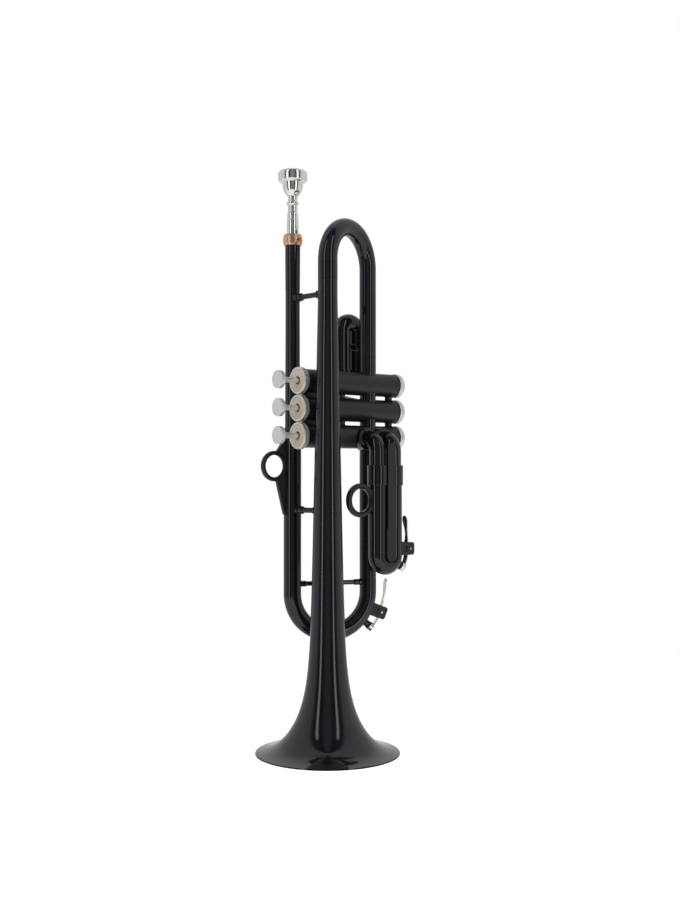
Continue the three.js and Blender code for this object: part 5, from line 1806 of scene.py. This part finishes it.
@dataclass
class FirstSlide(ValveSlide):
    """The first valve's slide, which stands up on the far side and carries a lug."""

    lug_drop: float = 31.3
    lug_share: float = 0.62
    lug_height: float = 6.6
    lug_front: float = 7.6
    lug_bar: float = 0.9

    def lug(self) -> Shape:
        """Draws the open lug in the recess between the legs: a bar with a thin arch hanging from it."""
        half, bar, high = self.half * self.lug_share, self.lug_bar, -self.lug_drop
        rise, share = self.lug_height - bar, (half - bar) / half
        arch = [(half * x, z) for x, z in arc(1.0, 0, 181, step=15)]
        outline = [(half, high), *[(x, high - bar - rise * z) for x, z in arch], (-half, high)]
        hole = [(x * share, high - bar - (rise - bar) * max(z, 0.02)) for x, z in arch]
        return plate([outline, hole], -self.lug_front, self.lug_front, 0.25)

    def build(self) -> None:
        """Builds the pieces of the first slide, whose neck holds its inner tubes."""
        neck = self.neck()
        for x, drop in ((-self.half, self.drop), (self.half, self.far_drop)):
            neck = neck + pipe(INNER_TUBE, BORE, 4.0 - self.bow_drop, 2.0 - drop, 0.2).moved(x, 0, 0)
        neck, bow = neck.mapped(self.place), (self.sliding() + self.lug()).mapped(self.place)
        self.shop.piece("first_slide_elbows", neck, POLISHED_ABS, "horn", "first_slide_neck")
        self.shop.piece("first_slide_bow", bow, POLISHED_ABS, "first_slide", "first_slide_crook")


@dataclass
class SecondSlide(ValveSlide):
    """The second valve's slide, which points straight out of its valve, with a pull knob."""

    neck_length: float = 9.0
    leg_length: float = 13.0
    knob_radius: float = 3.6
    knob_neck: float = 1.8
    knob_length: float = 5.0

    def build(self) -> None:
        """Builds the pieces of the second slide, which is drawn along its own +Y."""
        boss_end, wide, leg = CASING + self.boss_length, self.boss_radius, self.leg_length
        neck_end = boss_end + self.neck_length
        profile = [
            (0, SEAT_END), (wide, SEAT_END), (wide, boss_end - 0.6, 0.6),
            (self.neck_radius + 0.9, boss_end, 0.5), (self.neck_radius, boss_end + 0.8), (0, boss_end + 0.8),
        ]
        stub = revolved(profile, 72).seated(SEAT_END, BOSS_SEAT)
        stub = stub + rod(self.neck_radius, boss_end - 2, neck_end, 0.3)
        stub = (stub + rod(INNER_TUBE, neck_end - 1, neck_end + leg - 1, 0.2)).along(Axis.Y)
        neck = stub.moved(-self.half, 0, 0) + stub.moved(self.half, 0, 0)
        start, middle = neck_end + GAP + leg, self.knob_length / 2
        knob = [(0, -1.5), (self.knob_neck, -1.5), (self.knob_neck, middle, 0.4)]
        knob += [(self.knob_radius, middle + 0.2, 0.6), (self.knob_radius, self.knob_length, 0.8)]
        knob_shape = revolved([*knob, (0, self.knob_length)], 48).along(Axis.Y)
        bow = self.bow((leg, leg)).turned(90, Axis.X).moved(0, start, 0)
        bow = bow + knob_shape.moved(0, start + self.half + self.radius, 0)
        neck, bow = neck.mapped(self.place), bow.mapped(self.place)
        self.shop.piece("second_slide_stubs", neck, POLISHED_ABS, "horn", "second_slide_neck")
        self.shop.piece("second_slide_bow", bow, POLISHED_ABS, "second_slide", "second_slide_crook")


# Studio


@dataclass
class Studio(Assembly):
    """The camera, the lamps, the pale floor and the white surroundings.

    The stops give the brightness at each angle in degrees from the camera's side. A lamp is its name,
    its angle round the trumpet, its height in metres, its width, its length and its power in watts.
    """

    camera_at: Corner = (-624.45, -818.21, 243.71)
    camera_turn: float = 37.953
    camera_pitch: float = 1.191
    lens: float = 46.79
    floor_size: float = 1.3
    lamp_distance: float = 1.7
    lamp_target: float = 0.26
    lamps: tuple[tuple[Any, ...], ...] = (
        ("soft_box_left", -55, 0.9, 1.2, 1.6, 16),
        ("soft_box_right", 60, 0.8, 1.2, 1.6, 13),
        ("soft_box_top", 10, 1.9, 1.6, 1.6, 14),
    )
    strip_top: float = 0.78
    strip_stops: tuple[Pair, ...] = ((0, 0.0), (34.5, 0.0), (38, 2.6), (43.5, 2.6), (47, 0.0), (180, 0.0))
    room_stops: tuple[Pair, ...] = (
        (0, 0.21), (12, 0.21), (22, 0.03), (50, 0.03), (60, 0.12), (69, 0.56),
        (85, 0.63), (115, 0.65), (140, 0.57), (165, 0.75), (180, 0.78),
    )

    @property
    def look(self) -> Vector:
        """The direction that the camera looks in."""
        turn, pitch = math.radians(self.camera_turn), math.radians(self.camera_pitch)
        return Vector((math.sin(turn) * math.cos(pitch), math.cos(turn) * math.cos(pitch), math.sin(pitch)))

    def aim(self, made: bpy.types.Object, place: Vector, way: Vector) -> None:
        """Puts a camera or a lamp at a place, looking one way."""
        made.location = place
        made.rotation_euler = way.to_track_quat("-Z", "Y").to_euler()

    def camera(self) -> None:
        """Places the camera at the photograph's viewpoint."""
        data = bpy.data.cameras.new("view")
        data.lens, data.sensor_width = self.lens, 36.0
        data.clip_start, data.clip_end = 0.05, 60.0
        made = new_object("view", data)
        self.aim(made, self.shop.to_row(*self.camera_at), self.look)
        bpy.context.scene.camera = made

    def lamp(
        self, name: str, turn: float, height: float, width: float, length: float, power: float
    ) -> None:
        """Adds a soft box that looks at the middle of the trumpet.

        Args:
            name: The lamp's name.
            turn: Its angle in degrees round the trumpet, from the camera's side.
            height: Its height in metres.
            width: Its width in metres.
            length: Its length in metres.
            power: Its power in watts.
        """
        data = bpy.data.lights.new(name, "AREA")
        data.shape, data.energy = "RECTANGLE", power
        data.size, data.size_y = width, length
        made = new_object(name, data)
        angle = math.radians(self.camera_turn + turn)
        place = Vector((-math.sin(angle), -math.cos(angle), 0)) * self.lamp_distance
        place.z = height
        self.aim(made, place, Vector((0, 0, self.lamp_target)) - place)
        made.visible_glossy = False

    def ramp(self, tree: Tree, share: Socket, stops: Sequence[Pair]) -> Socket:
        """Adds a brightness that follows the angle from the camera's side.

        Args:
            tree: The world's tree.
            share: The socket that gives the angle, as a share of half a turn.
            stops: The angles in degrees and the brightness at each.

        Returns:
            The socket that holds the brightness.
        """
        scale = max(level for _, level in stops)
        ramp = add_node(tree, "ShaderNodeValToRGB", {"Fac": share}, None)
        elements = ramp.color_ramp.elements
        while len(elements) < len(stops):
            elements.new(0.5)
        for element, (degrees, level) in zip(elements, stops):
            element.position = degrees / 180
            element.color = (level / scale,) * 3 + (1,)
        return add_node(tree, "ShaderNodeMath", {0: ramp.outputs["Color"], 1: scale}, operation="MULTIPLY")

    def world(self) -> None:
        """Builds the surroundings: white behind the trumpet, a dim room with two light strips in front."""
        world = bpy.data.worlds.new("white_studio")
        bpy.context.scene.world = world
        tree = empty_tree(world)
        way = add_node(tree, "ShaderNodeTexCoord", out="Generated")
        flat = add_node(tree, "ShaderNodeVectorMath", {0: way, 1: (1, 1, 0)}, operation="MULTIPLY")
        level = add_node(tree, "ShaderNodeVectorMath", {0: flat}, operation="NORMALIZE")
        ahead = Vector((self.look.x, self.look.y, 0)).normalized()
        both = {0: level, 1: -ahead}
        cosine = add_node(tree, "ShaderNodeVectorMath", both, "Value", operation="DOT_PRODUCT")
        top, height = self.strip_top, add_node(tree, "ShaderNodeSeparateXYZ", {"Vector": way}, "Z")
        fade = {"Value": height, "From Min": top, "From Max": top + 0.05, "To Min": 1.0, "To Max": 0.0}
        path = add_node(tree, "ShaderNodeLightPath", out=None).outputs
        known = {"cosine": cosine, "camera": path["Is Camera Ray"], "through": path["Is Transmission Ray"]}
        known["below"] = add_node(tree, "ShaderNodeMapRange", fade, interpolation_type="SMOOTHSTEP")
        steps = [("angle", "ARCCOSINE", "cosine"), ("share", "DIVIDE", "angle", math.pi)]
        known = reckon(tree, known, [*steps, ("seen", "MAXIMUM", "camera", "through")])
        known["dim"] = self.ramp(tree, known["share"], self.room_stops)
        known["strips"] = self.ramp(tree, known["share"], self.strip_stops)
        steps = [("lit", "MULTIPLY", "strips", "below"), ("total", "ADD", "lit", "dim")]
        known = reckon(tree, known, steps)
        white = (1, 1, 1, 1)
        room, soft, plain = (
            add_node(tree, "ShaderNodeBackground", {"Color": colour, "Strength": strength})
            for colour, strength in ((linear("#fbfcff"), known["total"]), (white, 0.62), (white, 1.0))
        )
        inner = add_node(tree, "ShaderNodeMixShader", {0: path["Is Glossy Ray"], 1: soft, 2: room})
        outer = add_node(tree, "ShaderNodeMixShader", {0: known["seen"], 1: inner, 2: plain})
        add_node(tree, "ShaderNodeOutputWorld", {"Surface": outer}, None)

    def floor(self) -> None:
        """Lays the pale floor, which shows white to the camera but keeps the shadow."""
        mesh = bpy.data.meshes.new("floor")
        half = self.floor_size / 2
        corners = [(-half, -half, 0), (half, -half, 0), (half, half, 0), (-half, half, 0)]
        mesh.from_pydata(corners, [], [(0, 1, 2, 3)])
        made = new_object("floor", mesh)
        material = bpy.data.materials.new("white_studio_sweep")
        tree = empty_tree(material)
        matt = add_node(tree, "ShaderNodeBsdfDiffuse", {"Color": (0.82, 0.82, 0.82, 1)})
        lift = add_node(tree, "ShaderNodeEmission", {"Color": (1, 1, 1, 1), "Strength": 0.5})
        both = add_node(tree, "ShaderNodeAddShader", {0: matt, 1: lift})
        seen = add_node(tree, "ShaderNodeLightPath", out="Is Camera Ray")
        shown = add_node(tree, "ShaderNodeMixShader", {0: seen, 1: matt, 2: both})
        add_node(tree, "ShaderNodeOutputMaterial", {"Surface": shown}, None)
        mesh.materials.append(material)

    def build(self) -> None:
        """Builds the studio."""
        self.camera()
        for lamp in self.lamps:
            self.lamp(*lamp)
        self.world()
        self.floor()
        bpy.context.scene.view_settings.view_transform = "Standard"


def main() -> None:
    """Builds the studio and every sub-assembly."""
    shop = Shop(Toolbox())
    bell, valves = Bell(shop), ValveBlock(shop)
    first, second, third = (valves.height(index) for index in range(3))
    flip, tilt = (Matrix.Rotation(math.radians(degrees), 4, "X") for degrees in (180, 11))
    ports_x = 62.0
    first_place = Matrix.Translation((ports_x, 48.5, first + 1.5)) @ flip
    second_place = Matrix.Translation((ports_x, 22.5, second)) @ tilt
    third_place = Matrix.Translation((ports_x, -5.0, third - 1.8))
    first_sizes = {"drop": 13.5, "sleeve_height": 3.0, "far_drop": 13.5, "bow_drop": 49.4}
    assemblies = [
        Studio(shop), bell, Mouthpiece(shop), Leadpipe(shop, bell), TuningSlide(shop), valves,
        ThirdSlide(shop, place=third_place),
        FirstSlide(shop, place=first_place, valve_offset=26.0, web_depth=3.0, **first_sizes),
        SecondSlide(shop, place=second_place),
    ]
    for assembly in assemblies:
        assembly.build()


if __name__ == "__main__":
    main()
